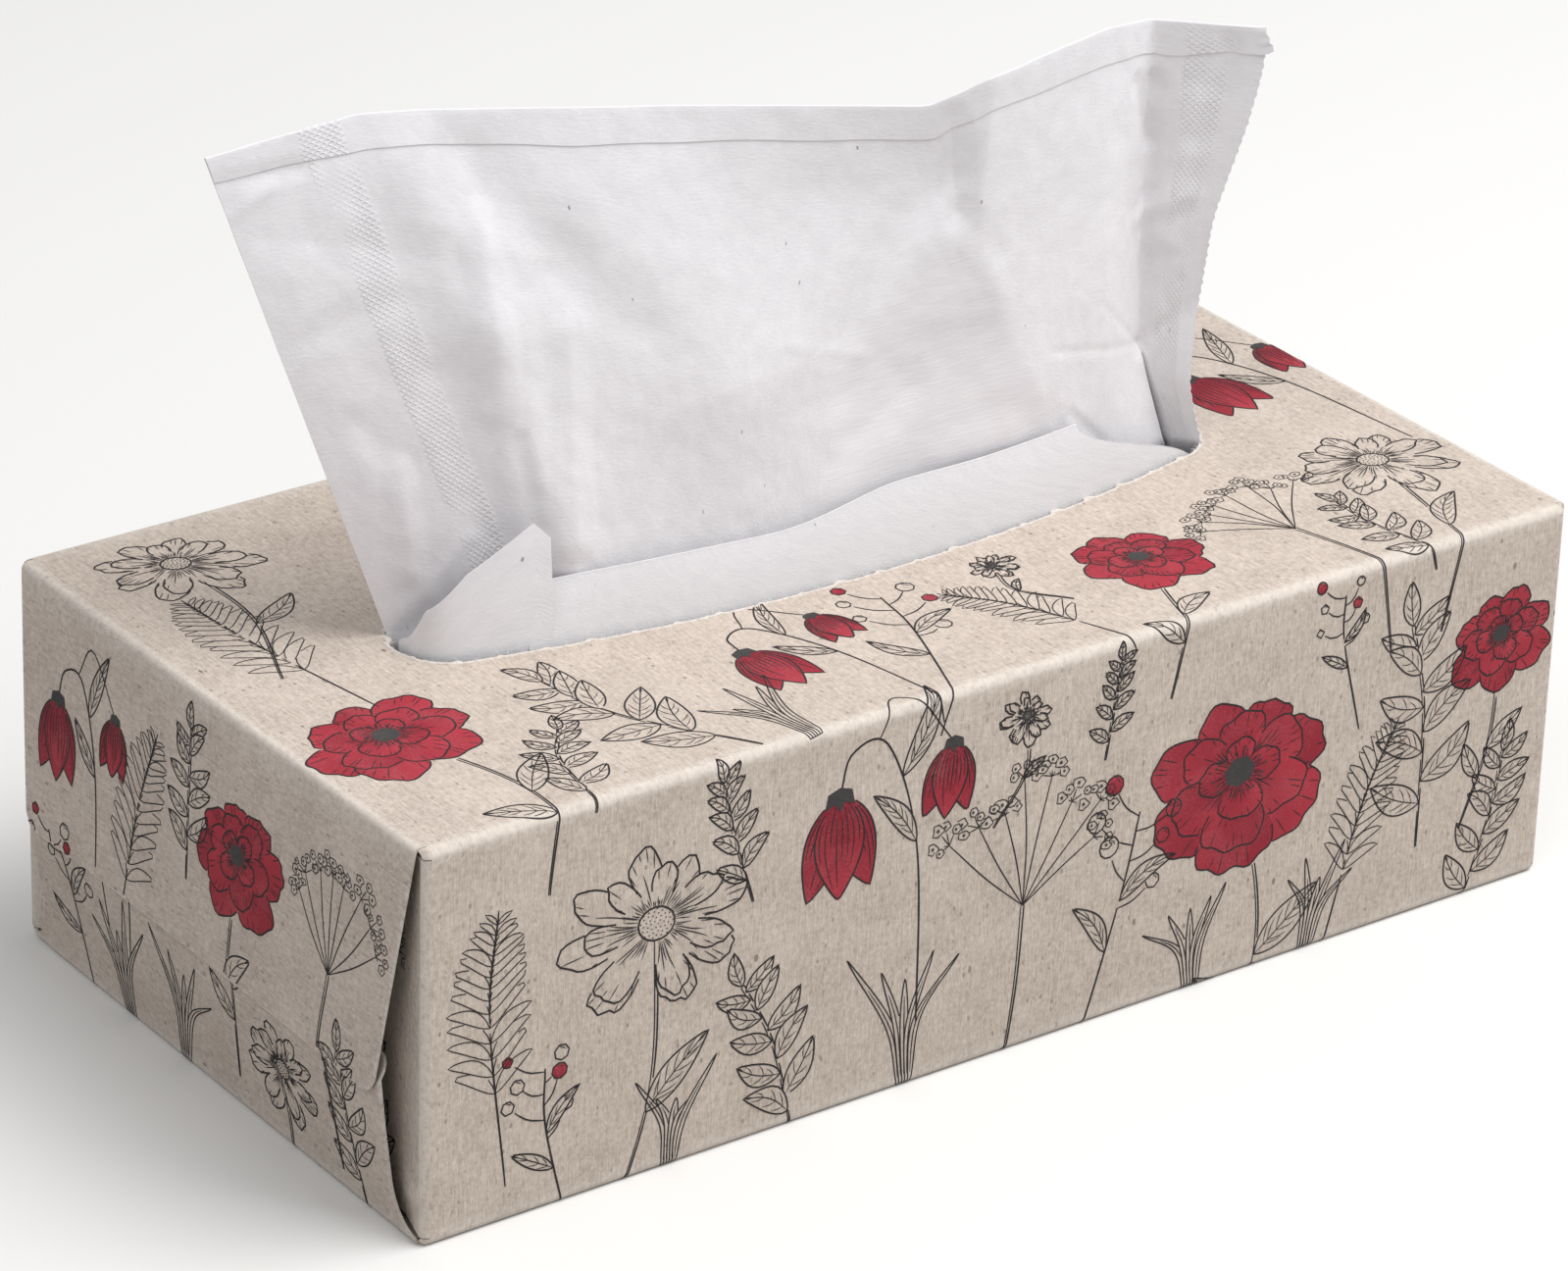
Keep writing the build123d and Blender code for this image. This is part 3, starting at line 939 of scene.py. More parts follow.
class Drawing:
    """A plant drawn in pen and filled in one colour, where later shapes hide what lies under them."""

    def __init__(self, seed: int) -> None:
        """Start an empty drawing with its own dice."""
        self.rng = np.random.default_rng(seed)
        self.strokes: list[Stroke] = []
        self.reds: list[Fill] = []
        self.darks: list[Fill] = []
        self.shapes: list[np.ndarray] = []

    def line(self, points: Sequence, width: float, taper: float = 0.35, count: int = 24) -> np.ndarray:
        """Draw a smooth line through a few points and give its samples."""
        path = along_path(points, count)
        self.strokes.append(Stroke(path, width, taper))
        return path

    def cover(self, outline: np.ndarray) -> None:
        """Hide the parts of earlier lines that lie inside an outline."""
        kept = []
        low, high = outline.min(axis=0), outline.max(axis=0)
        for stroke in self.strokes:
            if np.any(stroke.path.max(axis=0) < low) or np.any(stroke.path.min(axis=0) > high):
                kept.append(stroke)
                continue
            seen = ~points_inside(stroke.path, outline)
            kept.extend(Stroke(run, stroke.width, stroke.taper) for run in split_runs(stroke.path, seen))
        self.strokes = kept

    def shape(self, outline: np.ndarray, width: float, tones: np.ndarray | None = None) -> None:
        """Draw a closed shape over what is there, filled where it has tones."""
        self.cover(outline)
        self.shapes.append(outline)
        if tones is not None:
            self.reds.append(Fill(outline, tones))
        self.strokes.append(Stroke(np.vstack([outline, outline[:1]]), width, 0.8))

    def spot(self, place: np.ndarray, radius: float, corners: int = 6) -> None:
        """Ink one small dark spot."""
        ring = np.linspace(0, 2 * math.pi, corners + 1)[:-1]
        self.darks.append(Fill(polar(radius, ring) + place, np.zeros(corners)))

    def placed(self, turn: float, squash: float = 1.0, shift: Sequence[float] = (0.0, 0.0)) -> "Drawing":
        """Flatten the drawing a little, turn it about its own origin, and move it."""
        cosine, sine = math.cos(turn), math.sin(turn)
        matrix = np.array([(cosine, sine), (-sine * squash, cosine * squash)])
        for stroke in self.strokes:
            stroke.path = stroke.path @ matrix + shift
        for fill in self.reds + self.darks:
            fill.outline = fill.outline @ matrix + shift
        self.shapes = [outline @ matrix + shift for outline in self.shapes]
        return self

    def merge(self, other: "Drawing") -> None:
        """Lay another drawing over this one."""
        for outline in other.shapes:
            self.cover(outline)
        self.strokes.extend(other.strokes)
        self.reds.extend(other.reds)
        self.darks.extend(other.darks)
        self.shapes.extend(other.shapes)


def split_runs(path: np.ndarray, seen: np.ndarray) -> list[np.ndarray]:
    """Split a path into its runs of seen points, each of two points or more."""
    runs, start = [], None
    for index, flag in enumerate(seen):
        if flag and start is None:
            start = index
        if start is not None and (not flag or index == len(seen) - 1):
            stop = index + 1 if flag else index
            if stop - start >= 2:
                runs.append(path[start:stop])
            start = None
    return runs


def polar(radius: object, angle: object) -> np.ndarray:
    """Give points by radius and angle."""
    return np.column_stack([np.asarray(radius) * np.cos(angle), np.asarray(radius) * np.sin(angle)])


class Plant(Enum):
    """The plants of the print."""

    ROSETTE = "rosette"
    BELL = "bell"
    DAISY = "daisy"
    SPRIG = "sprig"
    UMBEL = "umbel"
    BERRIES = "berries"
    GRASS = "grass"
    FERN = "fern"


class Herbarium:
    """Draws the plants of the print, each from a few rules and a seed."""

    outline_width = 0.34
    vein_width = 0.2
    stem_width = 0.36

    def draw(self, plant: Plant, size: float, seed: int) -> Drawing:
        """Draw one plant about its flower, with its stem running down.

        Args:
            plant: Which plant.
            size: The flower's or spray's width in millimetres.
            seed: Makes each drawing its own.

        Returns:
            The drawing.
        """
        drawing = Drawing(seed)
        makers: dict[Plant, Callable[[Drawing, float], None]] = {
            Plant.ROSETTE: self._rosette,
            Plant.BELL: self._bell,
            Plant.DAISY: self._daisy,
            Plant.SPRIG: self._sprig,
            Plant.UMBEL: self._umbel,
            Plant.BERRIES: self._berries,
            Plant.GRASS: self._grass,
            Plant.FERN: self._fern,
        }
        makers[plant](drawing, size)
        return drawing

    def _petal(
        self, drawing: Drawing, angle: float, reach: float, span: float, lines: int, pale: float | None
    ) -> None:
        """Draw one fan-shaped petal about the flower's middle, hatched from its base and from its rim."""
        rng = drawing.rng
        share = np.linspace(-1, 1, 33)
        frill = rng.uniform(0.02, 0.05) * np.sin(share * rng.uniform(3, 5) + rng.uniform(0, 6))
        frill += rng.uniform(0.012, 0.03) * np.sin(share * rng.uniform(9, 13) + rng.uniform(0, 6))
        edge = reach * (0.56 + 0.44 * np.cos(share * math.pi / 2) ** 0.5) * (1 + frill)
        rim = polar(edge, angle + span * share)
        base = polar(np.full(5, 0.09 * reach), angle + span * np.linspace(0.5, -0.5, 5))
        tones = None
        if pale is not None:
            tones = np.concatenate([np.clip(pale + 0.25 * share * rng.choice((-1, 1)), 0, 1), np.zeros(5)])
        drawing.shape(np.vstack([rim, base]), self.outline_width, tones)
        for place in np.linspace(-0.86, 0.86, lines) + rng.uniform(-0.06, 0.06, lines):
            far = np.interp(place, share, edge)
            bend = angle + span * place * np.linspace(0.66, 1.0, 4) + rng.uniform(-0.02, 0.02, 4)
            out = np.linspace(reach * rng.uniform(0.12, 0.24), far * rng.uniform(0.36, 0.78), 4)
            drawing.line(polar(out, bend), self.vein_width, 0.15, 12)
            if rng.random() < 0.55:
                back = np.linspace(far * 0.985, far * rng.uniform(0.72, 0.9), 3)
                turn = angle + span * place * np.array((1.0, 0.97, 0.95))
                drawing.line(polar(back, turn), self.vein_width, 0.2, 6)

    def _head(
        self, seed: int, reach: float, rings: Sequence[tuple[int, float, float]], lines: int, red: bool
    ) -> Drawing:
        """Draw a flower head seen a little from above, ring by ring from the outside in.

        Args:
            seed: Makes each head its own.
            reach: The petals' length.
            rings: Each ring's number of petals, their length's share and their half angle.
            lines: Hatching lines on each petal.
            red: Whether the petals are filled.

        Returns:
            The head.
        """
        head = Drawing(seed)
        start = head.rng.uniform(0, 6)
        for ring, (count, scale, span) in enumerate(rings):
            order = np.argsort(-np.sin(start + ring * 0.6 + 2 * math.pi * np.arange(count) / count))
            for index in order:
                angle = start + ring * 0.6 + 2 * math.pi * index / count + head.rng.uniform(-0.07, 0.07)
                length = reach * scale * head.rng.uniform(0.9, 1.06) * (1 - 0.14 * math.sin(angle))
                pale = head.rng.uniform(0.45, 0.95) if red else None
                self._petal(head, angle, length, span, lines, pale)
        return head

    def _heart(self, drawing: Drawing, radius: float) -> None:
        """Draw a flower's dark middle with a ring of stamens."""
        rng = drawing.rng
        ring = np.linspace(0, 2 * math.pi, 25)[:-1]
        disc = polar(radius * (1 + 0.06 * np.sin(ring * 7)), ring)
        drawing.cover(disc)
        drawing.darks.append(Fill(disc, np.zeros(24)))
        for angle in np.linspace(0, 2 * math.pi, 23)[:-1]:
            stop = radius * rng.uniform(1.3, 1.85)
            turn = angle + rng.uniform(-0.14, 0.14)
            drawing.line(polar(np.array((radius, stop)), np.array((angle, turn))), self.vein_width, 0.6, 4)
            drawing.spot(polar(np.array([stop]), np.array([turn])), 0.05 * radius + 0.12)

    def _stem(self, drawing: Drawing, start: tuple, bend: tuple, end: tuple) -> np.ndarray:
        """Draw a stem as two close lines and give its middle line."""
        path = along_path([start, bend, end], 40)
        aside = left_of(np.gradient(path, axis=0)) * np.linspace(0.32, 0.14, 40)[:, None]
        drawing.strokes.append(Stroke(path + aside, self.stem_width * 0.85, 0.7))
        drawing.strokes.append(Stroke(path - aside, self.stem_width * 0.6, 0.7))
        return path

    @staticmethod
    def _blade(
        base: np.ndarray, angle: float, length: float, width: float, curl: float
    ) -> tuple[np.ndarray, ...]:
        """Give a leaf's spine and its two edges, from its base."""
        share = np.linspace(0, 1, 16)
        swell = width / 2 * np.sin(math.pi * share**0.82) ** 0.9
        spine = np.column_stack([share * length, curl * length * np.sin(math.pi * share)])
        turn = np.array([(math.cos(angle), math.sin(angle)), (-math.sin(angle), math.cos(angle))])
        aside = np.column_stack([0 * share, swell])
        return tuple(line @ turn + base for line in (spine, spine + aside, spine - aside))

    def _leaf(self, drawing: Drawing, base: np.ndarray, angle: float, length: float, width: float) -> None:
        """Draw one veined leaf from its base."""
        rng = drawing.rng
        spine, upper, lower = self._blade(base, angle, length, width, rng.uniform(-0.14, 0.14))
        drawing.shape(np.vstack([upper, lower[-2:0:-1]]), self.outline_width * 0.9)
        drawing.line(spine[::3], self.vein_width, 0.3, 20)
        for place in np.linspace(0.14, 0.84, max(int(length / 2.2), 4)):
            index = int(place * 15)
            ahead = min(index + 3, 15)
            for side in (upper, lower):
                tip = spine[ahead] + (side[ahead] - spine[ahead]) * rng.uniform(0.6, 0.95)
                middle = (spine[index] + tip) / 2 + (side[index] - spine[index]) * 0.12
                drawing.line(np.vstack([spine[index], middle, tip]), self.vein_width * 0.8, 0.2, 8)

    def _lobe(self, drawing: Drawing, angle: float, length: float, width: float, pale: float) -> None:
        """Draw one red lobe of a bell, lined along its length."""
        rng = drawing.rng
        spine, upper, lower = self._blade(np.zeros(2), angle, length, width, 0.0)
        outline = np.vstack([upper, lower[-2:0:-1]])
        tones = np.linspace(0.0, pale, 16)
        drawing.shape(outline, self.outline_width, np.concatenate([tones, tones[-2:0:-1]]))
        for place in np.linspace(-0.82, 0.82, 8):
            side = upper if place > 0 else lower
            line = spine + (side - spine) * abs(place)
            first, last = rng.integers(1, 4), rng.integers(9, 15)
            drawing.line(line[first:last:2], self.vein_width, 0.2, 14)

    def _rosette(self, drawing: Drawing, size: float) -> None:
        """Draw a broad many-petalled red flower on a leafy stem."""
        rng = drawing.rng
        reach = size / 2
        bend = (rng.uniform(-3, 3), -reach * 1.7)
        stem = self._stem(drawing, (0, 0), bend, (rng.uniform(-6, 6), -reach * 3.2))
        self._leaf(drawing, stem[22], math.radians(rng.uniform(30, 55)), reach * 0.85, reach * 0.32)
        self._leaf(drawing, stem[28], math.radians(rng.uniform(125, 150)), reach * 0.75, reach * 0.28)
        rings = ((7, 1.0, 0.56), (6, 0.74, 0.6), (4, 0.46, 0.7))
        head = self._head(int(rng.integers(1000)), reach, rings, 10, True)
        self._heart(head, reach * 0.16)
        drawing.merge(head.placed(rng.uniform(-0.3, 0.3), 0.86))

    def _bell(self, drawing: Drawing, size: float) -> None:
        """Draw two red bells that nod from one arched stem."""
        rng = drawing.rng
        lean = rng.choice((-1, 1))
        path = [(0, 0), (lean * size * 0.14, size * 0.34), (lean * size * 0.5, size * 0.3)]
        path.extend([(lean * size * 0.74, -size * 0.7), (lean * size * 0.7, -size * 2.4)])
        stem = drawing.line(path, self.stem_width, 0.7, 60)
        self._leaf(drawing, stem[36], math.radians(90 - lean * 28), size * 0.9, size * 0.2)
        self._leaf(drawing, stem[44], math.radians(90 + lean * 36), size * 0.7, size * 0.18)
        for start, place, scale in ((26, (lean * size * 1.16, size * 0.1), 0.72), (0, (0, 0), 1.0)):
            if start:
                arch = stem[start] + (lean * size * 0.3, size * 0.34)
                drawing.line([stem[start], arch, place], self.vein_width * 1.4, 0.7)
            head = Drawing(int(rng.integers(1000)))
            for angle, width, pale in ((-0.34, 0.42, 0.5), (0.34, 0.42, 0.6), (0.0, 0.5, 0.95)):
                self._lobe(head, -math.pi / 2 + angle, size * 0.95, size * width, pale)
            crown = [(-0.15, -0.1), (-0.12, 0.04), (0, 0.08), (0.12, 0.04)]
            hem = [(0.15, -0.1), (0.06, -0.05), (0, -0.14), (-0.06, -0.05)]
            cap = np.array(crown + hem) * size
            head.cover(cap)
            head.darks.append(Fill(cap, np.zeros(8)))
            for stroke in head.strokes:
                stroke.path = stroke.path * scale
            for fill in head.reds + head.darks:
                fill.outline = fill.outline * scale
            head.shapes = [outline * scale for outline in head.shapes]
            drawing.merge(head.placed(rng.uniform(-0.2, 0.2), 1.0, place))

    def _daisy(self, drawing: Drawing, size: float) -> None:
        """Draw a bare line daisy with narrow petals in two rings."""
        rng = drawing.rng
        reach = size / 2
        bend = (rng.uniform(-4, 4), -reach * 1.7)
        stem = self._stem(drawing, (0, 0), bend, (rng.uniform(-4, 4), -reach * 3.4))
        self._leaf(drawing, stem[22], math.radians(rng.uniform(25, 60)), reach * 0.95, reach * 0.3)
        head = self._head(int(rng.integers(1000)), reach, ((8, 1.0, 0.3), (7, 0.86, 0.3)), 6, False)
        ring = np.linspace(0, 2 * math.pi, 31)[:-1]
        head.shape(polar(reach * 0.2, ring), self.outline_width)
        for index in range(46):
            radius = reach * 0.19 * math.sqrt((index + 0.5) / 46)
            head.spot(polar(np.array([radius]), np.array([index * 2.39996])), 0.11 + 0.2 * radius / reach)
        drawing.merge(head.placed(rng.uniform(-0.4, 0.4), 0.84))

    def _sprig(self, drawing: Drawing, size: float) -> None:
        """Draw a stem with pairs of veined leaves."""
        rng = drawing.rng
        top = (rng.uniform(-3, 3), size * 0.55)
        stem = self._stem(drawing, top, (rng.uniform(-3, 3), 0), (0, -size * 0.85))
        for index, place in enumerate((2, 9, 16, 23, 30)):
            length = size * (0.3 + 0.035 * index)
            tilt = math.radians(rng.uniform(28, 44))
            self._leaf(drawing, stem[place], math.pi / 2 - tilt * 1.5, length, length * 0.42)
            other = stem[min(place + 3, 39)]
            self._leaf(drawing, other, math.pi / 2 + tilt * 1.5, length * 0.95, length * 0.42)
        self._leaf(drawing, stem[0], math.pi / 2, size * 0.28, size * 0.12)

    def _umbel(self, drawing: Drawing, size: float) -> None:
        """Draw a domed spray of tiny florets on fine rays."""
        rng = drawing.rng
        base = np.array((0.0, -size * 0.45))
        bend = (rng.uniform(-2, 2), -size * 1.1)
        self._stem(drawing, (0, base[1]), bend, (rng.uniform(-4, 4), -size * 2.0))
        ring = np.linspace(0, 2 * math.pi, 26)[:-1]
        for angle in np.linspace(math.radians(40), math.radians(140), 8) + rng.uniform(-0.06, 0.06, 8):
            tip = base + polar(np.array([size * rng.uniform(0.6, 0.88)]), np.array([angle]))[0]
            middle = (base + tip) / 2 + rng.uniform(-0.6, 0.6, 2)
            drawing.line([base, middle, tip], self.vein_width * 1.2, 0.6, 14)
            for turn in np.linspace(0.2, math.pi - 0.2, 5) + rng.uniform(-0.2, 0.2, 5):
                reach = np.array([size * rng.uniform(0.07, 0.15)])
                out = polar(reach, np.array([turn + angle - math.pi / 2]))[0]
                drawing.line([tip, tip + out], self.vein_width, 0.7, 4)
                radius = size * rng.uniform(0.028, 0.042)
                floret = polar(radius * (1 + 0.32 * np.cos(5 * ring)), ring)
                drawing.shape(floret + tip + out, self.vein_width)
                drawing.spot(tip + out, radius * 0.3)

    def _berries(self, drawing: Drawing, size: float) -> None:
        """Draw a forked twig with round berries and a few narrow leaves."""
        rng = drawing.rng
        path = [(0, size * 0.5), (rng.uniform(-2, 2), 0), (0, -size * 1.1)]
        stem = drawing.line(path, self.stem_width, 0.7, 40)
        ring = np.linspace(0, 2 * math.pi, 22)[:-1]
        for index, place in enumerate((1, 5, 9, 13, 17, 21)):
            side = 1 if index % 2 else -1
            tip = stem[place] + (side * size * rng.uniform(0.16, 0.3), size * rng.uniform(0.12, 0.24))
            middle = (stem[place] + tip) / 2 + (0, -1)
            drawing.line([stem[place], middle, tip], self.vein_width * 1.4, 0.6, 12)
            radius = size * rng.uniform(0.045, 0.065)
            tones = np.clip(0.5 + 0.5 * np.sin(ring), 0, 1) if index % 3 == 0 else None
            drawing.shape(polar(radius, ring) + tip, self.outline_width * 0.85, tones)
            shine = polar(np.full(6, radius * 0.62), np.linspace(0.4, 1.6, 6)) + tip
            drawing.strokes.append(Stroke(shine, self.vein_width, 0.3))
            drawing.spot(tip + (0, radius * 0.9), radius * 0.2)
        self._leaf(drawing, stem[20], math.radians(40), size * 0.42, size * 0.11)
        self._leaf(drawing, stem[26], math.radians(140), size * 0.42, size * 0.11)

    def _grass(self, drawing: Drawing, size: float) -> None:
        """Draw a tuft of long blades that part as they rise."""
        rng = drawing.rng
        for lean in (-0.5, -0.24, 0.02, 0.26, 0.52):
            tip = np.array((lean * size * rng.uniform(0.7, 1.0), size * rng.uniform(0.25, 0.65)))
            spine = along_path([(lean * 2, -size * 0.5), (lean * size * 0.22, 0), tip], 24)
            half = np.column_stack([0.75 * np.sin(math.pi * np.linspace(0.05, 1, 24)) ** 0.7, np.zeros(24)])
            drawing.shape(np.vstack([spine + half, (spine - half)[::-1]]), self.vein_width * 1.2)
            drawing.line(spine[2:-3:4], self.vein_width, 0.2, 18)

    def _fern(self, drawing: Drawing, size: float) -> None:
        """Draw a curved frond with pairs of narrow leaflets that shorten to its tip."""
        rng = drawing.rng
        lean = rng.uniform(-0.25, 0.25) * size
        path = [(0, -size), (lean * 0.2, 0), (lean, size * 0.6)]
        spine = drawing.line(path, self.stem_width, 0.5, 60)
        for index in range(16, 58, 3):
            ahead = spine[index + 1] - spine[index - 1]
            angle = math.atan2(ahead[1], ahead[0])
            length = size * 0.3 * (1 - ((index - 22) / 40) ** 2) + 0.6
            for side in (-1, 1):
                turn = angle + side * rng.uniform(0.85, 1.05)
                _, upper, lower = self._blade(spine[index], turn, length, length * 0.24, -0.1 * side)
                drawing.shape(np.vstack([upper, lower[-2:0:-1]])[::2], self.vein_width)


@dataclass
class InkFilm:
    """A thin closed film of one ink on the folded board, made of ribbons and filled patches."""

    blank: Blank
    name: str
    finish: InkFinish
    top: float
    root: float = -0.06
    step: float = 1.1
    fold_step: float = 0.4
    layer: float = 0.0008

    def __post_init__(self) -> None:
        """Start with no geometry."""
        self.flat: list[np.ndarray] = []
        self.lift: list[np.ndarray] = []
        self.tones: list[np.ndarray] = []
        self.faces: list[list[int]] = []
        self.count = 0

    def _near_fold(self, path: np.ndarray) -> bool:
        """Tell whether a flat path comes near one of the carton's folds."""
        blank = self.blank
        a, b = np.abs(path[:, 0]), np.abs(path[:, 1])
        for low, high in zip(blank.marks[0:5:2], blank.marks[1:6:2]):
            if np.any((b > low - 0.5) & (b < high + 0.5)):
                return True
        return bool(np.any((a > blank.bend_start(2) - 0.5) & (a < blank.bend_end(0) + 0.5)))

    def _resampled(self, path: np.ndarray, values: np.ndarray) -> tuple[np.ndarray, np.ndarray]:
        """Step a path and its values evenly, finely where it crosses a fold."""
        run = run_along(path)
        step = self.fold_step if self._near_fold(path) else self.step
        place = np.linspace(0, run[-1], max(int(run[-1] / step) + 1, 3))
        points = np.column_stack([np.interp(place, run, path[:, k]) for k in (0, 1)])
        return points, np.interp(place, run, values)

    def _add(self, flat: np.ndarray, lift: np.ndarray, tones: np.ndarray, faces: list[list[int]]) -> None:
        """Add flat points with their lift and tone, and faces."""
        self.flat.append(flat)
        self.lift.append(lift)
        self.tones.append(tones)
        self.faces.extend([corner + self.count for corner in face] for face in faces)
        self.count += len(flat)

    def ribbon(self, path: np.ndarray, widths: np.ndarray) -> None:
        """Add a closed ribbon along a flat path."""
        points, width = self._resampled(path, widths)
        aside = left_of(np.gradient(points, axis=0)) * (width / 2)[:, None]
        left, right = points + aside, points - aside
        flat = np.stack([left, right, right, left], axis=1).reshape(-1, 2)
        lift = np.tile((self.top, self.top, self.root, self.root), len(points))
        faces = [[0, 1, 2, 3]]
        for index in range(len(points) - 1):
            near, far = 4 * index, 4 * index + 4
            for edge in range(4):
                other = (edge + 1) % 4
                faces.append([near + edge, far + edge, far + other, near + other])
        last = 4 * (len(points) - 1)
        faces.append([last + 3, last + 2, last + 1, last])
        self._add(flat, lift, np.zeros(len(flat)), faces)

    def patch(self, outline: np.ndarray, tones: np.ndarray, layer: int) -> None:
        """Add a closed patch inside a flat outline that is seen whole from its middle.

        Args:
            outline: The outline's corners.
            tones: The ink's tone at each corner.
            layer: How many patches of the same drawing lie under it.
        """
        corners = np.roll(outline, -1, axis=0)
        if np.sum(outline[:, 0] * corners[:, 1] - corners[:, 0] * outline[:, 1]) > 0:
            outline, tones = outline[::-1], tones[::-1]
        middle = outline.mean(axis=0)
        rings = 1
        if self._near_fold(np.vstack([outline, middle + (outline - middle) * 0.5])):
            outline, tones = self._resampled(np.vstack([outline, outline[:1]]), np.append(tones, tones[0]))
            outline, tones = outline[:-1], tones[:-1]
            rings = max(int(np.max(np.linalg.norm(outline - middle, axis=1)) / self.fold_step), 1)
        count = len(outline)
        mean = float(tones.mean())
        shares = [(ring + 1) / rings for ring in range(rings)]
        sheet = np.vstack([middle[None, :], *(middle + (outline - middle) * share for share in shares)])
        shades = np.concatenate([[mean], *(mean + (tones - mean) * share for share in shares)])
        size = len(sheet)
        faces = []
        for index in range(count):
            after = (index + 1) % count
            faces.append([0, 1 + index, 1 + after])
            faces.append([size, size + 1 + after, size + 1 + index])
            for ring in range(rings - 1):
                low, high = 1 + ring * count, 1 + (ring + 1) * count
                face = [low + index, high + index, high + after, low + after]
                faces.append(face)
                faces.append([size + corner for corner in reversed(face)])
            rim = 1 + (rings - 1) * count
            faces.append([size + rim + index, size + rim + after, rim + after, rim + index])
        lift = np.repeat((self.top + layer * self.layer, self.root), size)
        self._add(np.vstack([sheet, sheet]), lift, np.tile(shades, 2), faces)

    def build(self) -> bpy.types.Object:
        """Fold the film onto the carton.

        Returns:
            The film as one mesh.
        """
        flat, lift = np.vstack(self.flat), np.concatenate(self.lift)
        low, high = flat.min(axis=0), flat.max(axis=0)
        maps = {"OFBake": (flat - low) / np.max(high - low)}
        points = self.blank.fold(flat, lift)
        film = make_object(self.name, points, self.faces, [self.finish.material()], None, maps)
        tone = film.data.attributes.new("Tone", "FLOAT", "POINT")
        tone.data.foreach_set("value", np.concatenate(self.tones).astype(np.float32))
        return film


@dataclass
class Placement:
    """Which plant stands where on a side: millimetres from the side's middle, as seen from outside."""

    plant: Plant
    x: float
    y: float
    size: float
    turn: float = 0.0


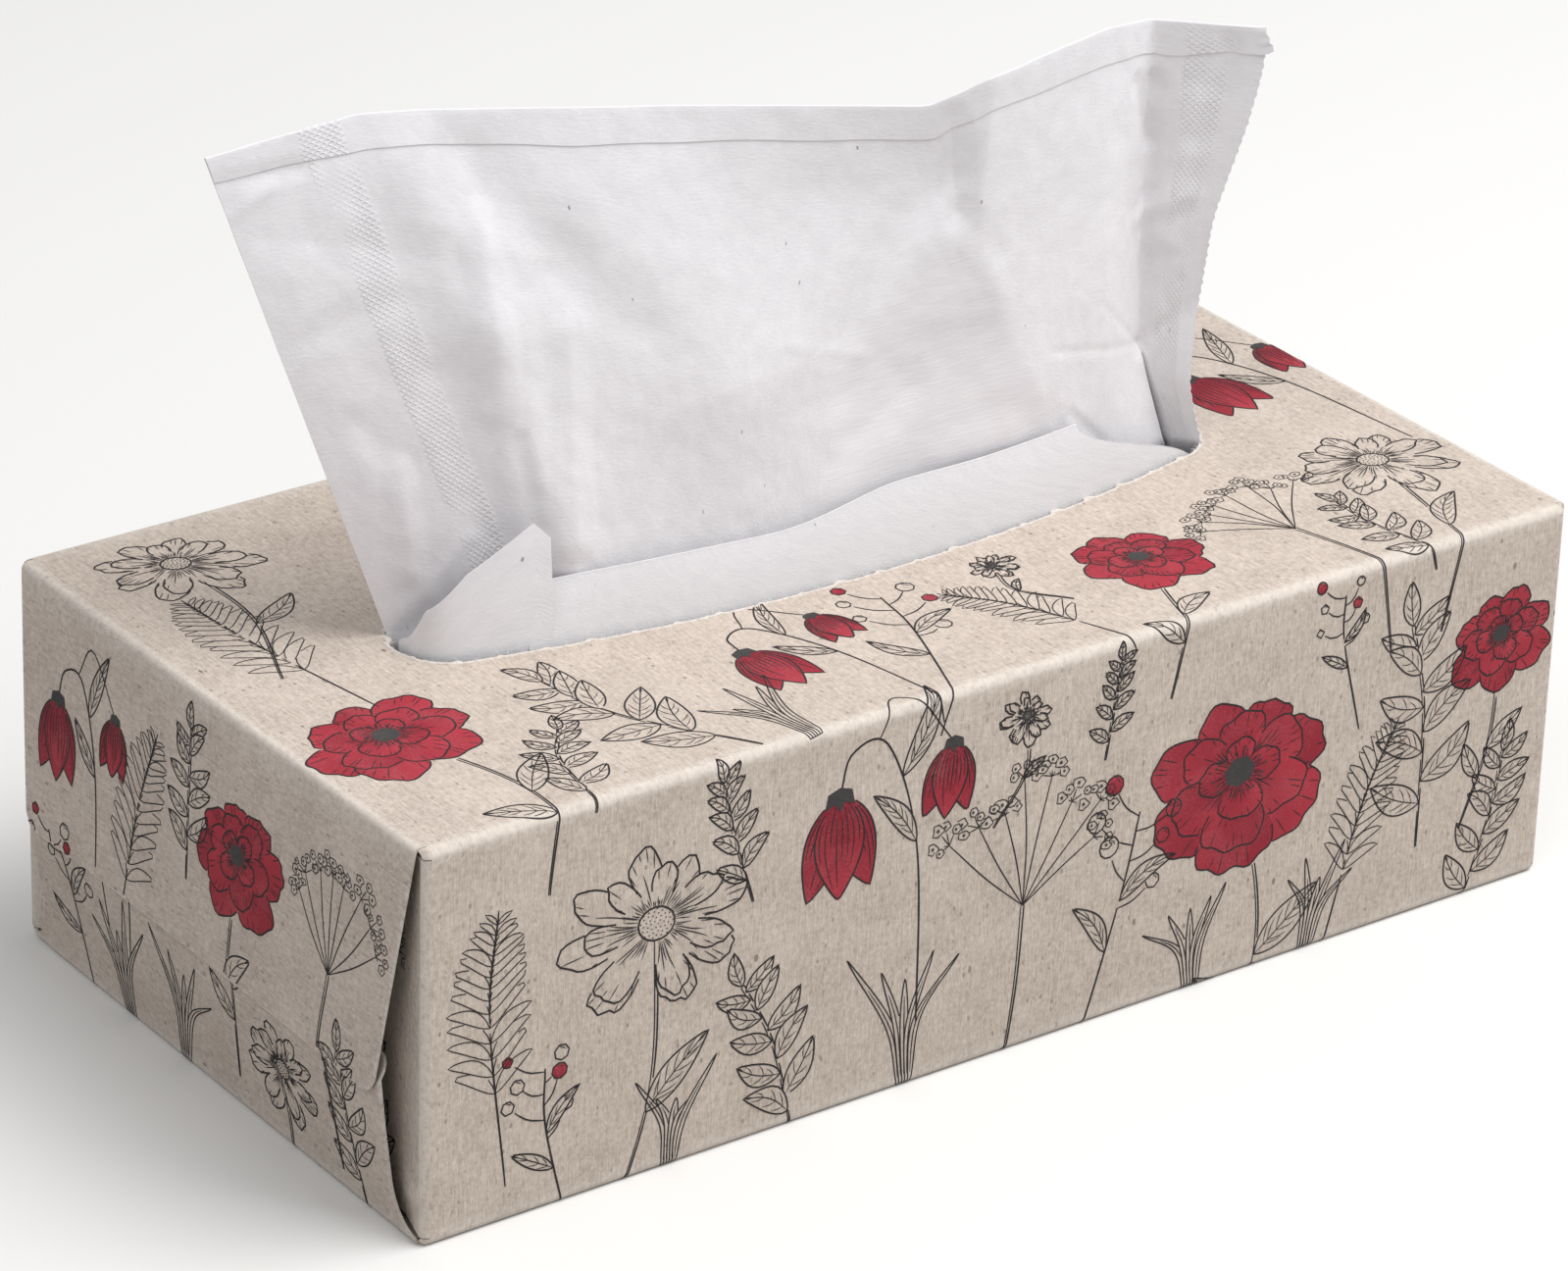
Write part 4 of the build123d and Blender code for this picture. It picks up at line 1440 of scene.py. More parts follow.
class BotanicalPrint:
    """The carton's print: plants laid over the sides, cut at the board's edges and at the slot."""

    slot_margin = 1.2
    under_flap = 1.5
    beside_flap = 14.0

    def __init__(self, blank: Blank) -> None:
        """Start with no film: each ink's film on a side begins with its first plant."""
        self.blank = blank
        self.herbarium = Herbarium()
        self.films: dict[tuple[str, str], InkFilm] = {}

    def _film(self, side: Side, kind: str) -> InkFilm:
        """Give the film of one ink on one side."""
        finishes = {"red": (RED_INK, 0.02), "dark": (CHARCOAL_INK, 0.055), "line": (BLACK_INK, 0.045)}
        key = (side.value, kind)
        if key not in self.films:
            finish, top = finishes[kind]
            self.films[key] = InkFilm(self.blank, f"print_{side.value}_{kind}", finish, top)
        return self.films[key]

    def _frames(self, side: Side) -> list[tuple[np.ndarray, np.ndarray, Test]]:
        """Give how a side's own X and Y lie on the blank, for each layer of board that shows on that side.

        Returns:
            For each layer its origin, its two axes as rows, and a test of what shows there.
        """
        blank = self.blank
        tall = blank.height / 2
        if side is Side.TOP:
            return [(np.zeros(2), np.array([(1, 0), (0, -1)]), self._everywhere)]
        if side is Side.FRONT:
            return [(np.array((0, blank.front_middle)), np.array([(1, 0), (0, -1)]), self._everywhere)]
        if side is Side.BACK:
            return [(np.array((0, -blank.front_middle)), np.array([(-1, 0), (0, 1)]), self._everywhere)]
        end = -1 if side is Side.LEFT else 1
        upper = np.array((end * blank.flap_place(0, tall), 0))
        lower = np.array((end * blank.flap_place(1, tall), blank.bottom_middle))
        layers = [(upper, np.array([(0, -end), (-end, 0)]), self._everywhere)]
        layers.append((lower, np.array([(0, end), (end, 0)]), self._below_top_flap))
        for sign in (1, -1):
            middle = np.array((end * blank.flap_place(2, blank.width / 2), sign * blank.front_middle))
            across = np.array((sign, 0.0))
            layers.append((middle, np.array([across, (0, -sign)]), self._beside_flaps))
        return layers

    @staticmethod
    def _everywhere(local: np.ndarray) -> np.ndarray:
        """Show the whole layer."""
        return np.ones(len(local), dtype=bool)

    def _below_top_flap(self, local: np.ndarray) -> np.ndarray:
        """Show only what the top flap leaves bare."""
        return local[:, 1] < self.blank.height / 2 - self.blank.top_depth + self.under_flap

    def _beside_flaps(self, local: np.ndarray) -> np.ndarray:
        """Show only what the top and bottom flaps leave bare beside them."""
        return np.abs(local[:, 0]) > self.blank.width / 2 - self.beside_flap

    def add(self, side: Side, placement: Placement, seed: int) -> None:
        """Draw one plant and lay it on a side of the carton.

        Args:
            side: The side.
            placement: Which plant, where and how large.
            seed: Makes each drawing its own.
        """
        drawing = self.herbarium.draw(placement.plant, placement.size, seed)
        drawing.placed(math.radians(placement.turn), 1.0, (placement.x, placement.y))
        for origin, axes, shows in self._frames(side):
            for stroke in drawing.strokes:
                flat = stroke.path @ axes + origin
                self._lay_line(side, flat, shows(stroke.path), stroke.widths())
            for kind, fills in (("red", drawing.reds), ("dark", drawing.darks)):
                for layer, fill in enumerate(fills):
                    shape = self._trimmed(fill.outline, origin, axes, shows)
                    if shape is not None:
                        self._film(side, kind).patch(shape, fill.tones, layer % 24)

    def _lay_line(self, side: Side, flat: np.ndarray, shown: np.ndarray, widths: np.ndarray) -> None:
        """Lay one line on the board wherever it shows and the board is whole."""
        seen = shown & self.blank.contains(flat, self.slot_margin)
        pairs = np.column_stack([flat, widths])
        for run in split_runs(pairs, seen):
            self._film(side, "line").ribbon(run[:, :2], run[:, 2])

    def _trimmed(
        self, local: np.ndarray, origin: np.ndarray, axes: np.ndarray, shows: Test
    ) -> np.ndarray | None:
        """Give a filled shape's outline on the blank, cut back to where it shows, or nothing."""
        flat = local @ axes + origin
        seen = shows(local) & self.blank.contains(flat, self.slot_margin)
        if not np.any(seen):
            return None
        middle = flat[seen].mean(axis=0)
        for index in np.nonzero(~seen)[0]:
            flat[index] = self._pull_in(middle, flat[index], origin, axes, shows)
        return flat

    def _pull_in(
        self, middle: np.ndarray, point: np.ndarray, origin: np.ndarray, axes: np.ndarray, shows: Test
    ) -> np.ndarray:
        """Move a point towards a shape's middle until it is on the board."""
        share = np.linspace(1, 0, 40)[:, None]
        track = middle + (point - middle) * share
        back = (track - origin) @ axes.T
        good = np.nonzero(shows(back) & self.blank.contains(track, self.slot_margin))[0]
        return track[good[0]] if len(good) else middle

    def build(self) -> list[bpy.types.Object]:
        """Fold every film onto the carton.

        Returns:
            One object for each ink on each side.
        """
        return [film.build() for film in self.films.values() if film.flat]


PLACEMENTS = {
    Side.FRONT: [
        Placement(Plant.FERN, -101, 2, 30, 8),
        Placement(Plant.DAISY, -70, 10, 34, -8),
        Placement(Plant.SPRIG, -48, -18, 24, 16),
        Placement(Plant.BELL, -36, 22, 19, 4),
        Placement(Plant.UMBEL, 2, 4, 26, -7),
        Placement(Plant.GRASS, -22, -22, 24, 4),
        Placement(Plant.ROSETTE, 44, 4, 38, 6),
        Placement(Plant.BERRIES, 20, -12, 30, -14),
        Placement(Plant.FERN, 70, -10, 26, -12),
        Placement(Plant.SPRIG, 81, 4, 30, 6),
        Placement(Plant.ROSETTE, 99, 14, 22, -10),
        Placement(Plant.GRASS, 62, -26, 18, -8),
        Placement(Plant.BERRIES, -88, -20, 22, 10),
        Placement(Plant.SPRIG, -54, 22, 16, 8),
        Placement(Plant.DAISY, 0, 26, 11, -10),
        Placement(Plant.SPRIG, 17, 24, 12, -6),
        Placement(Plant.BERRIES, 66, 22, 16, 10),
        Placement(Plant.GRASS, 36, -26, 20, 6),
        Placement(Plant.SPRIG, 97, -20, 22, -10),
        Placement(Plant.GRASS, -66, -26, 16, -4),
    ],
    Side.TOP: [
        Placement(Plant.ROSETTE, -96, -24, 30, 14),
        Placement(Plant.FERN, -97, 14, 30, 10),
        Placement(Plant.DAISY, -92, 44, 26, -6),
        Placement(Plant.SPRIG, -60, -36, 28, 26),
        Placement(Plant.BELL, -34, -30, 15, 12),
        Placement(Plant.BERRIES, -8, -38, 26, -18),
        Placement(Plant.FERN, 14, -40, 22, 20),
        Placement(Plant.ROSETTE, 40, -36, 23, -12),
        Placement(Plant.UMBEL, 66, -32, 22, 12),
        Placement(Plant.DAISY, 96, -28, 28, -10),
        Placement(Plant.SPRIG, -76, -46, 18, -20),
        Placement(Plant.GRASS, -42, -50, 18, 10),
        Placement(Plant.DAISY, 18, -26, 10, 4),
        Placement(Plant.SPRIG, 80, -48, 18, 14),
        Placement(Plant.BELL, 90, 14, 17, 8),
        Placement(Plant.SPRIG, 98, 44, 24, -18),
        Placement(Plant.ROSETTE, 58, 42, 28, 6),
        Placement(Plant.UMBEL, 22, 46, 22, -4),
        Placement(Plant.FERN, -12, 42, 24, 14),
        Placement(Plant.ROSETTE, -48, 42, 24, -8),
    ],
    Side.LEFT: [
        Placement(Plant.BELL, -44, 16, 15, 6),
        Placement(Plant.FERN, -20, 6, 28, -8),
        Placement(Plant.ROSETTE, 10, 12, 25, 4),
        Placement(Plant.UMBEL, 38, 14, 22, -5),
        Placement(Plant.BERRIES, -42, -18, 22, 14),
        Placement(Plant.SPRIG, 42, -18, 20, 8),
        Placement(Plant.DAISY, 22, -20, 20, -6),
        Placement(Plant.GRASS, -8, -24, 20, -6),
        Placement(Plant.SPRIG, -5, 17, 18, 3),
        Placement(Plant.GRASS, -27, -25, 20, 8),
    ],
    Side.RIGHT: [
        Placement(Plant.ROSETTE, 30, 10, 28, -8),
        Placement(Plant.DAISY, -34, 8, 30, 6),
        Placement(Plant.SPRIG, 2, 2, 36, 4),
        Placement(Plant.BERRIES, -10, -20, 26, -10),
    ],
    Side.BACK: [
        Placement(Plant.ROSETTE, 36, 6, 36, -6),
        Placement(Plant.DAISY, -42, 6, 34, 8),
        Placement(Plant.BELL, 88, 14, 19, 4),
        Placement(Plant.UMBEL, -4, 2, 26, -6),
        Placement(Plant.ROSETTE, -90, 4, 26, 12),
        Placement(Plant.SPRIG, 64, -6, 32, 8),
        Placement(Plant.BERRIES, -68, -10, 30, -8),
        Placement(Plant.GRASS, 12, -22, 26, 4),
    ],
}


@dataclass
class TornEdge:
    """Loose fibres along the slot's torn edge, scattered by Geometry Nodes on the edge's own line."""

    blank: Blank
    count: int = 2600
    length: float = 1.2
    thickness: float = 0.06
    seed: int = 3
    name: str = "torn_fibres"

    def _edge_curve(self) -> bpy.types.Object:
        """Make the line that the fibres stand on."""
        flat = self.blank.slot_edge
        points = self.blank.fold(flat, -self.blank.board / 2) * MM
        curve = bpy.data.curves.new(self.name, "CURVE")
        curve.dimensions = "3D"
        spline = curve.splines.new("POLY")
        spline.points.add(len(points) - 1)
        spline.points.foreach_set("co", np.column_stack([points, np.ones(len(points))]).ravel())
        spline.use_cyclic_u = True
        made = bpy.data.objects.new(self.name, curve)
        bpy.context.scene.collection.objects.link(made)
        return made

    def build(self) -> bpy.types.Object:
        """Scatter the fibres and turn them into a plain mesh.

        Returns:
            The fibres.
        """
        tree = GeometryTree("torn_fibre_scatter", {"Count": self.count, "Length": self.length * MM})
        inputs = {0: tree.source, "Count": tree.entry["Count"]}
        spread = tree.node("GeometryNodeCurveToPoints", {"mode": "COUNT"}, inputs)
        cone = {"Vertices": 3, "Radius Top": 0.00001, "Radius Bottom": self.thickness * MM / 2}
        cone["Depth"] = tree.entry["Length"]
        fibre = tree.node("GeometryNodeMeshCone", None, cone)
        rise = tree.node("ShaderNodeCombineXYZ", None, {2: self.length * MM * 0.35})
        fibre = tree.node("GeometryNodeTransform", None, {"Geometry": fibre, "Translation": rise})
        spin = tree.dice((-1.9, -1.9, 0.0), (1.9, 1.9, 6.28), self.seed)
        size = tree.dice((0.6, 0.6, 0.15), (1.2, 1.2, 1.0), self.seed + 1)
        inputs = {"Points": spread, "Instance": fibre, "Rotation": spin, "Scale": size}
        placed = tree.node("GeometryNodeInstanceOnPoints", None, inputs)
        return tree.apply(self._edge_curve(), placed, TORN_FIBRE.material(), self.name)


class GeometryTree:
    """A Geometry Nodes tree built in code and applied to one object."""

    def __init__(self, name: str, entries: dict[str, float | int]) -> None:
        """Make the tree with its named inputs.

        Args:
            name: The tree's name.
            entries: Each input's name and value.
        """
        self.group = bpy.data.node_groups.new(name, "GeometryNodeTree")
        self.values = entries
        self.identifiers: dict[str, str] = {}
        self.group.interface.new_socket("Geometry", in_out="INPUT", socket_type="NodeSocketGeometry")
        for key, value in entries.items():
            kind = "NodeSocketInt" if isinstance(value, int) else "NodeSocketFloat"
            socket = self.group.interface.new_socket(key, in_out="INPUT", socket_type=kind)
            self.identifiers[key] = socket.identifier
        self.group.interface.new_socket("Geometry", in_out="OUTPUT", socket_type="NodeSocketGeometry")
        entrance = self.group.nodes.new("NodeGroupInput")
        self.source = entrance.outputs["Geometry"]
        self.entry = {key: entrance.outputs[key] for key in entries}

    def node(self, kind: str, settings: dict | None, inputs: dict, output: int = 0) -> bpy.types.NodeSocket:
        """Add a node, set it up, wire it and give one of its outputs."""
        made = self.group.nodes.new(kind)
        for key, value in (settings or {}).items():
            setattr(made, key, value)
        for key, value in inputs.items():
            if isinstance(value, bpy.types.NodeSocket):
                self.group.links.new(value, made.inputs[key])
            else:
                made.inputs[key].default_value = value
        return next(socket for socket in list(made.outputs)[output:] if socket.enabled)

    def dice(self, low: tuple, high: tuple, seed: int) -> bpy.types.NodeSocket:
        """Add a random vector between two corners."""
        inputs = {0: low, 1: high, "Seed": seed}
        return self.node("FunctionNodeRandomValue", {"data_type": "FLOAT_VECTOR"}, inputs)

    def apply(
        self, carrier: bpy.types.Object, result: bpy.types.NodeSocket, material: bpy.types.Material, name: str
    ) -> bpy.types.Object:
        """Close the tree, run it on an object and keep the result as a plain mesh.

        Args:
            carrier: The object that the tree runs on, which is removed.
            result: The socket with the finished instances.
            material: The material of all of it.
            name: The new object's name.

        Returns:
            The mesh object.
        """
        real = self.node("GeometryNodeRealizeInstances", None, {0: result})
        dressed = self.node("GeometryNodeSetMaterial", None, {"Geometry": real, "Material": material})
        exit_node = self.group.nodes.new("NodeGroupOutput")
        self.group.links.new(dressed, exit_node.inputs[0])
        modifier = carrier.modifiers.new(name, "NODES")
        modifier.node_group = self.group
        for key, value in self.values.items():
            modifier[self.identifiers[key]] = value
        graph = bpy.context.evaluated_depsgraph_get()
        mesh = bpy.data.meshes.new_from_object(carrier.evaluated_get(graph), depsgraph=graph)
        carrier.modifiers.remove(modifier)
        bpy.data.objects.remove(carrier)
        mesh.name = name
        made = bpy.data.objects.new(name, mesh)
        bpy.context.scene.collection.objects.link(made)
        return made


def sheet_object(
    name: str, grid: np.ndarray, flat: np.ndarray, thickness: float, finish: TissueFinish
) -> bpy.types.Object:
    """Make a closed thin sheet from a grid of points.

    Args:
        name: The object's name.
        grid: Rows by columns of points in millimetres.
        flat: The same grid's flat coordinates in millimetres.
        thickness: The sheet's thickness.
        finish: Its finish.

    Returns:
        The sheet.
    """
    rows, columns = grid.shape[:2]
    across = np.gradient(grid, axis=1)
    down = np.gradient(grid, axis=0)
    normal = np.cross(across, down)
    normal /= np.maximum(np.linalg.norm(normal, axis=2), 1e-9)[:, :, None]
    near, far = grid + normal * thickness / 2, grid - normal * thickness / 2
    count = rows * columns
    number = np.arange(count).reshape(rows, columns)
    first, second = number[:-1, :-1].ravel(), number[:-1, 1:].ravel()
    third, fourth = number[1:, 1:].ravel(), number[1:, :-1].ravel()
    front = np.column_stack([first, second, third, fourth])
    back = front[:, ::-1] + count
    rim = np.concatenate([number[0, :-1], number[:-1, -1], number[-1, :0:-1], number[:0:-1, 0]])
    after = np.roll(rim, -1)
    side = np.column_stack([after, rim, rim + count, after + count])
    faces = np.vstack([front, back, side])
    points = np.vstack([near.reshape(-1, 3), far.reshape(-1, 3)])
    maps = {"Sheet": np.vstack([flat.reshape(-1, 2)] * 2) * MM}
    return make_object(name, points, faces.tolist(), [finish.material()], None, maps)


@dataclass
class FoldLine:
    """One line of the pulled sheet, as points from its top edge down to the slot."""

    points: Sequence[tuple[float, float, float]]

    def at(self, fall: float) -> np.ndarray:
        """Give the line's point at a share of the way down from the top edge to the slot."""
        points = np.array(self.points, dtype=float)
        heights = points[:, 2]
        falls = (heights[0] - heights) / (heights[0] - heights[-1])
        return np.array([np.interp(fall, falls, points[:, axis]) for axis in range(3)])


SHEET_LINES = (
    FoldLine([(-110, 4, 155.3), (-77.4, 4.8, 68)]),
    FoldLine([(-83, 5, 156.2), (-58, -3.5, 68)]),
    FoldLine([(-72.5, 4.4, 155), (-48, -8.2, 68)]),
    FoldLine([(-27.5, -1, 148), (-20, -11.3, 68)]),
    FoldLine([(14.3, -9, 141.9), (18, -7.5, 127), (-2, -8, 100.7), (-5, -12, 68)]),
    FoldLine([(25.4, -12, 145.5), (24.5, -11, 117.5), (42, -8.6, 79.5), (46, -8, 68)]),
    FoldLine([(53.5, -4, 145.1), (58, -5.5, 68)]),
    FoldLine([(66.8, 1, 142.4), (68.6, 1, 116.3), (67.7, 1, 104.2), (67.6, 0, 84), (71.5, -2.5, 68)]),
    FoldLine(
        [(82, -10, 141.5), (82.4, -10, 134.8), (80.4, -9, 124.3), (76.4, -6.5, 108.2)]
        + [(75.4, -5, 91.1), (73.7, -6, 78.7), (76, -7.4, 68)]
    ),
)


@dataclass(frozen=True)
class Crease:
    """A crease or a soft swelling of the pulled sheet, along a line in its front view, X and Z."""

    start: tuple[float, float]
    end: tuple[float, float]
    width: float
    height: float
    soft: bool = False

    def rise(self, front: np.ndarray) -> np.ndarray:
        """Give how far points of the front view come forward."""
        away = distance_to_line(front, self.start, self.end) / self.width
        return self.height * (np.exp(-(away**2)) if self.soft else np.clip(1 - away, 0, 1))


CREASES = (
    Crease((-50, 132), (-18, 100), 14, 1.1, True),
    Crease((-18, 100), (8, 118), 12, 0.7, True),
    Crease((-76, 148), (-62, 118), 6, 0.8, True),
    Crease((-62, 118), (-52, 80), 7, 1.0, True),
    Crease((-70, 112), (-60, 78), 4, -0.5, True),
    Crease((-92, 140), (-72, 92), 5, -0.3, True),
    Crease((0, 84), (36, 88), 8, 0.5, True),
    Crease((-65, 147), (-49.6, 126.8), 5, -0.7, True),
    Crease((-49.6, 126.8), (-36.4, 113.3), 5, -0.6, True),
    Crease((21, 80), (33, 79), 5, 0.8, True),
    Crease((43, 92.5), (67, 85.5), 1.0, -0.18),
    Crease((55, 97), (67, 85.5), 1.0, -0.2),
    Crease((67.6, 132), (67.4, 85), 2.4, -0.7),
    Crease((67.5, 85), (75, 93), 1.6, -0.3),
    Crease((48, 80), (56, 72), 1.6, -0.3),
    Crease((74, 128), (70, 104), 3.5, 0.7),
    Crease((78, 139), (74, 122), 3.0, -0.6),
    Crease((63.6, 132.6), (68, 121.4), 2.5, -0.6),
    Crease((73.7, 112.2), (66, 108), 2.5, 0.5),
    Crease((-104, 141), (-68, 131), 5.0, -0.3),
    Crease((-96, 121), (-78, 126), 4.0, -0.25),
    Crease((-108, 151), (-93, 150), 2.5, -0.35),
    Crease((-105, 145), (-99, 148), 2.0, 0.35),
    Crease((-34, 100), (26, 108), 8.0, 0.25),
    Crease((-12.5, 107), (4, 101.5), 1.6, 0.12),
    Crease((12.5, 94), (-3.6, 85), 5.0, -0.35),
    Crease((11.2, 123.6), (-1.7, 105), 5.0, -0.5),
    Crease((18.8, 139), (20.8, 122.7), 3.5, -0.4),
    Crease((20.8, 122.7), (28, 114), 3.5, -0.35),
    Crease((-58.8, 100), (-56, 85), 2.0, -0.4),
    Crease((-49.4, 116), (-50.2, 82), 4.0, 0.6),
    Crease((-63.5, 136), (-61.5, 106), 4.0, 0.6),
    Crease((-63.6, 131.7), (-49.6, 127), 5.0, 0.25),
    Crease((-83.5, 106), (-74.6, 98), 4.0, -0.25),
    Crease((-77.2, 97.4), (-74.5, 79), 3.0, 0.5),
    Crease((-77, 70), (-66, 84), 2.2, 0.25),
    Crease((-74, 69), (-62, 79), 2.0, -0.25),
)


@dataclass
class PulledSheet:
    """The sheet that stands out of the slot: fanned, creased, hemmed, and folded back on the stack."""

    carton_top: float = 68.0
    stack_top: float = 58.45
    cut: float = 210.0
    hem: float = 5.9
    hem_gap: float = 0.24
    thickness: float = 0.2
    shares: tuple[int, ...] = (28, 12, 48, 38, 30, 30, 26, 34)
    rows: int = 120
    foot: float = 46.0
    foot_half: float = 96.0
    foot_bend: float = 1.6
    clearance: float = 0.35
    tooth: float = 0.5
    step_back: float = 8.0
    softness: float = 0.9
    samples: int = 900
    drop: float = 2.4
    slit_top: float = 84.0
    slit_depth: float = 7.0
    slit_width: float = 0.03
    slit_spread: float = 0.17
    slit_line: int = 7
    name: str = "pulled_sheet"

    def __post_init__(self) -> None:
        """Spread the columns over the folds, most closely beside the slit."""
        steps = []
        for index, count in enumerate(self.shares):
            step = np.linspace(0, 1, count, endpoint=False)
            if index == self.slit_line - 1:
                step = 1 - (1 - step) ** 2
            if index == self.slit_line:
                step = step**2
            steps.append(index + step)
        self.across = np.append(np.concatenate(steps), len(self.shares))
        self.columns = len(self.across)

    def _level(self, fall: float) -> np.ndarray:
        """Give the sheet's points at a share of the way down, smoothed over its folds."""
        knots = np.array([line.at(fall) for line in SHEET_LINES])
        lengths = run_along(knots[:, :2])
        fine = np.linspace(0, lengths[-1], self.samples)
        track = np.column_stack([np.interp(fine, lengths, knots[:, axis]) for axis in range(3)])
        kernel = bell_weights(self.softness, lengths[-1] / (self.samples - 1))
        padded = run_on(track, len(kernel) // 2)
        smooth = [np.convolve(padded[:, axis], kernel, "valid") for axis in range(3)]
        place = np.interp(self.across, np.arange(len(knots)), lengths)
        return np.column_stack([np.interp(place, fine, part) for part in smooth])

    def _standing(self) -> np.ndarray:
        """Give the part that shows, from the top edge down to the slot."""
        falls = np.linspace(0, 1, self.rows)
        grid = np.array([self._level(fall) for fall in falls])
        step = (SHEET_LINES[0].points[0][2] - self.carton_top) / self.rows
        kernel = bell_weights(self.drop, step)
        padded = run_on(grid, len(kernel) // 2)
        soft = sum(weight * padded[index : index + self.rows] for index, weight in enumerate(kernel))
        return self._creased(soft)

    def _creased(self, grid: np.ndarray) -> np.ndarray:
        """Press the creases, dents and fine wrinkles into the standing sheet."""
        x, z = grid[:, :, 0], grid[:, :, 2]
        rise = sum(crease.rise(grid[:, :, [0, 2]]) for crease in CREASES)
        rise -= self._slit(z)
        for row in range(grid.shape[0]):
            for column in range(grid.shape[1]):
                across, up = x[row, column], z[row, column]
                broad = noise.fractal(Vector((across * 0.035, up * 0.03, 3.7)), 1.0, 2.0, 3)
                fine = noise.fractal(Vector((across * 0.17 + up * 0.06, up * 0.12, 9.1)), 0.8, 2.0, 3)
                rise[row, column] += 0.4 * broad + 0.1 * fine
        ends = smoothstep(np.minimum(np.arange(self.columns), np.arange(self.columns)[::-1]), 0, 10)
        shift = grid.copy()
        shift[:, :, 1] -= rise * (0.35 + 0.65 * ends)
        return shift

    def _slit(self, z: np.ndarray) -> np.ndarray:
        """Give how far the sheet is pushed back at the slit, a deep groove that widens towards the slot."""
        below = self.slit_top - z
        depth = self.slit_depth * smoothstep(below, 0.0, 4.0)
        width = self.slit_width + self.slit_spread * smoothstep(below, 0.0, 14.0)
        away = (self.across - self.slit_line)[None, :]
        inside = smoothstep(away, -0.004, 0.008) * (1 - np.clip((away - width) / 0.05, 0, 1))
        return depth * inside

    def _hem_rows(self, standing: np.ndarray) -> np.ndarray:
        """Give the strip that is folded over the front along the top edge, from its free edge up."""
        forward = np.cross(np.gradient(standing, axis=0), np.gradient(standing, axis=1))
        forward /= np.linalg.norm(forward, axis=2)[:, :, None]
        steps = np.linalg.norm(np.diff(standing, axis=0), axis=2)
        depth = np.vstack([np.zeros(self.columns), np.cumsum(steps, axis=0)])
        number = np.arange(self.columns)
        wobble = 0.2 * np.sin(number * 0.11 + 0.6) + 0.12 * np.sin(number * 0.31)
        wobble -= 1.6 * (1 - smoothstep(number, 0, self.columns * 0.14))
        wobble -= 1.4 * smoothstep(number, self.columns * 0.9, self.columns - 1.0)
        skew = smoothstep(number, self.columns * 0.86, self.columns - 1.0) * 1.6
        rows = []
        for share in np.linspace(1, 0.07, 12):
            row = np.empty((self.columns, 3))
            for column in range(self.columns):
                want = (self.hem + wobble[column]) * share
                track = depth[:, column]
                row[column] = [np.interp(want, track, standing[:, column, axis]) for axis in range(3)]
                index = min(int(np.searchsorted(track, want)), self.rows - 1)
                row[column] += forward[index, column] * self.hem_gap * (1.1 - 0.3 * share**2)
            tangent = np.gradient(row, axis=0)
            tangent /= np.linalg.norm(tangent, axis=1)[:, None]
            rows.append(row + tangent * skew[:, None] * share)
        for turn in (0.6, 1.3, 2.1):
            bulge = self.hem_gap * 0.5 * (1 + math.cos(turn))
            rows.append(standing[0] + forward[0] * bulge + (0, 0, self.hem_gap * 0.5 * math.sin(turn)))
        return np.array(rows)

    def _hidden_rows(self, slot_row: np.ndarray) -> np.ndarray:
        """Give the part inside the carton: down to the stack, back along it, and folded over once."""
        rows = []
        floor = self.stack_top + self.clearance
        bend = self.foot_bend
        for share in np.linspace(0.12, 1, 8):
            row = slot_row * (1 + 0.06 * share, 1, 1) + (0, self.step_back * share**2, 0)
            row[:, 2] = self.carton_top + (floor + bend - self.carton_top) * share
            rows.append(row)
        slot_row = slot_row * (1.06, 1, 1) + (0, self.step_back, 0)
        for turn in np.linspace(0.3, 1, 4) * math.pi / 2:
            row = slot_row.copy()
            row[:, 1] += bend * (1 - math.cos(turn))
            row[:, 2] = floor + bend * (1 - math.sin(turn))
            rows.append(row)
        start = slot_row + (0, bend, 0)
        ends = np.linspace(-self.foot_half, self.foot_half, self.columns)
        for lay, shares in enumerate((np.linspace(0.06, 1, 20), np.linspace(0.985, 0.04, 20))):
            for share in shares:
                row = start.copy()
                fan = share * share * (3 - 2 * share)
                row[:, 0] = start[:, 0] * (1 - fan) + ends * fan
                ripple = 0.3 * np.sin(row[:, 0] * 0.1)
                row[:, 1] = start[:, 1] * (1 - share) + (self.foot + ripple) * share
                row[:, 2] = floor + lay * (0.5 + 0.25 * math.sin(share * 3.1))
                rows.append(row)
        return np.array(rows)

    def build(self) -> bpy.types.Object:
        """Join the hem, the standing part and the hidden part into one closed sheet.

        Returns:
            The sheet.
        """
        standing = self._standing()
        teeth = np.abs((np.arange(self.rows) * 0.37) % 1 - 0.5) * 2 - 0.5
        standing[:, -1, 0] += self.tooth * teeth
        grid = np.concatenate([self._hem_rows(standing), standing, self._hidden_rows(standing[-1])])
        spread = run_along(standing[0])
        steps = np.linalg.norm(np.diff(grid, axis=0), axis=2).mean(axis=1)
        along = np.concatenate([[0], np.cumsum(steps)])
        flat = np.stack(np.meshgrid(spread / spread[-1] * self.cut, along), axis=2)
        return sheet_object(self.name, grid, flat, self.thickness, WHITE_TISSUE)


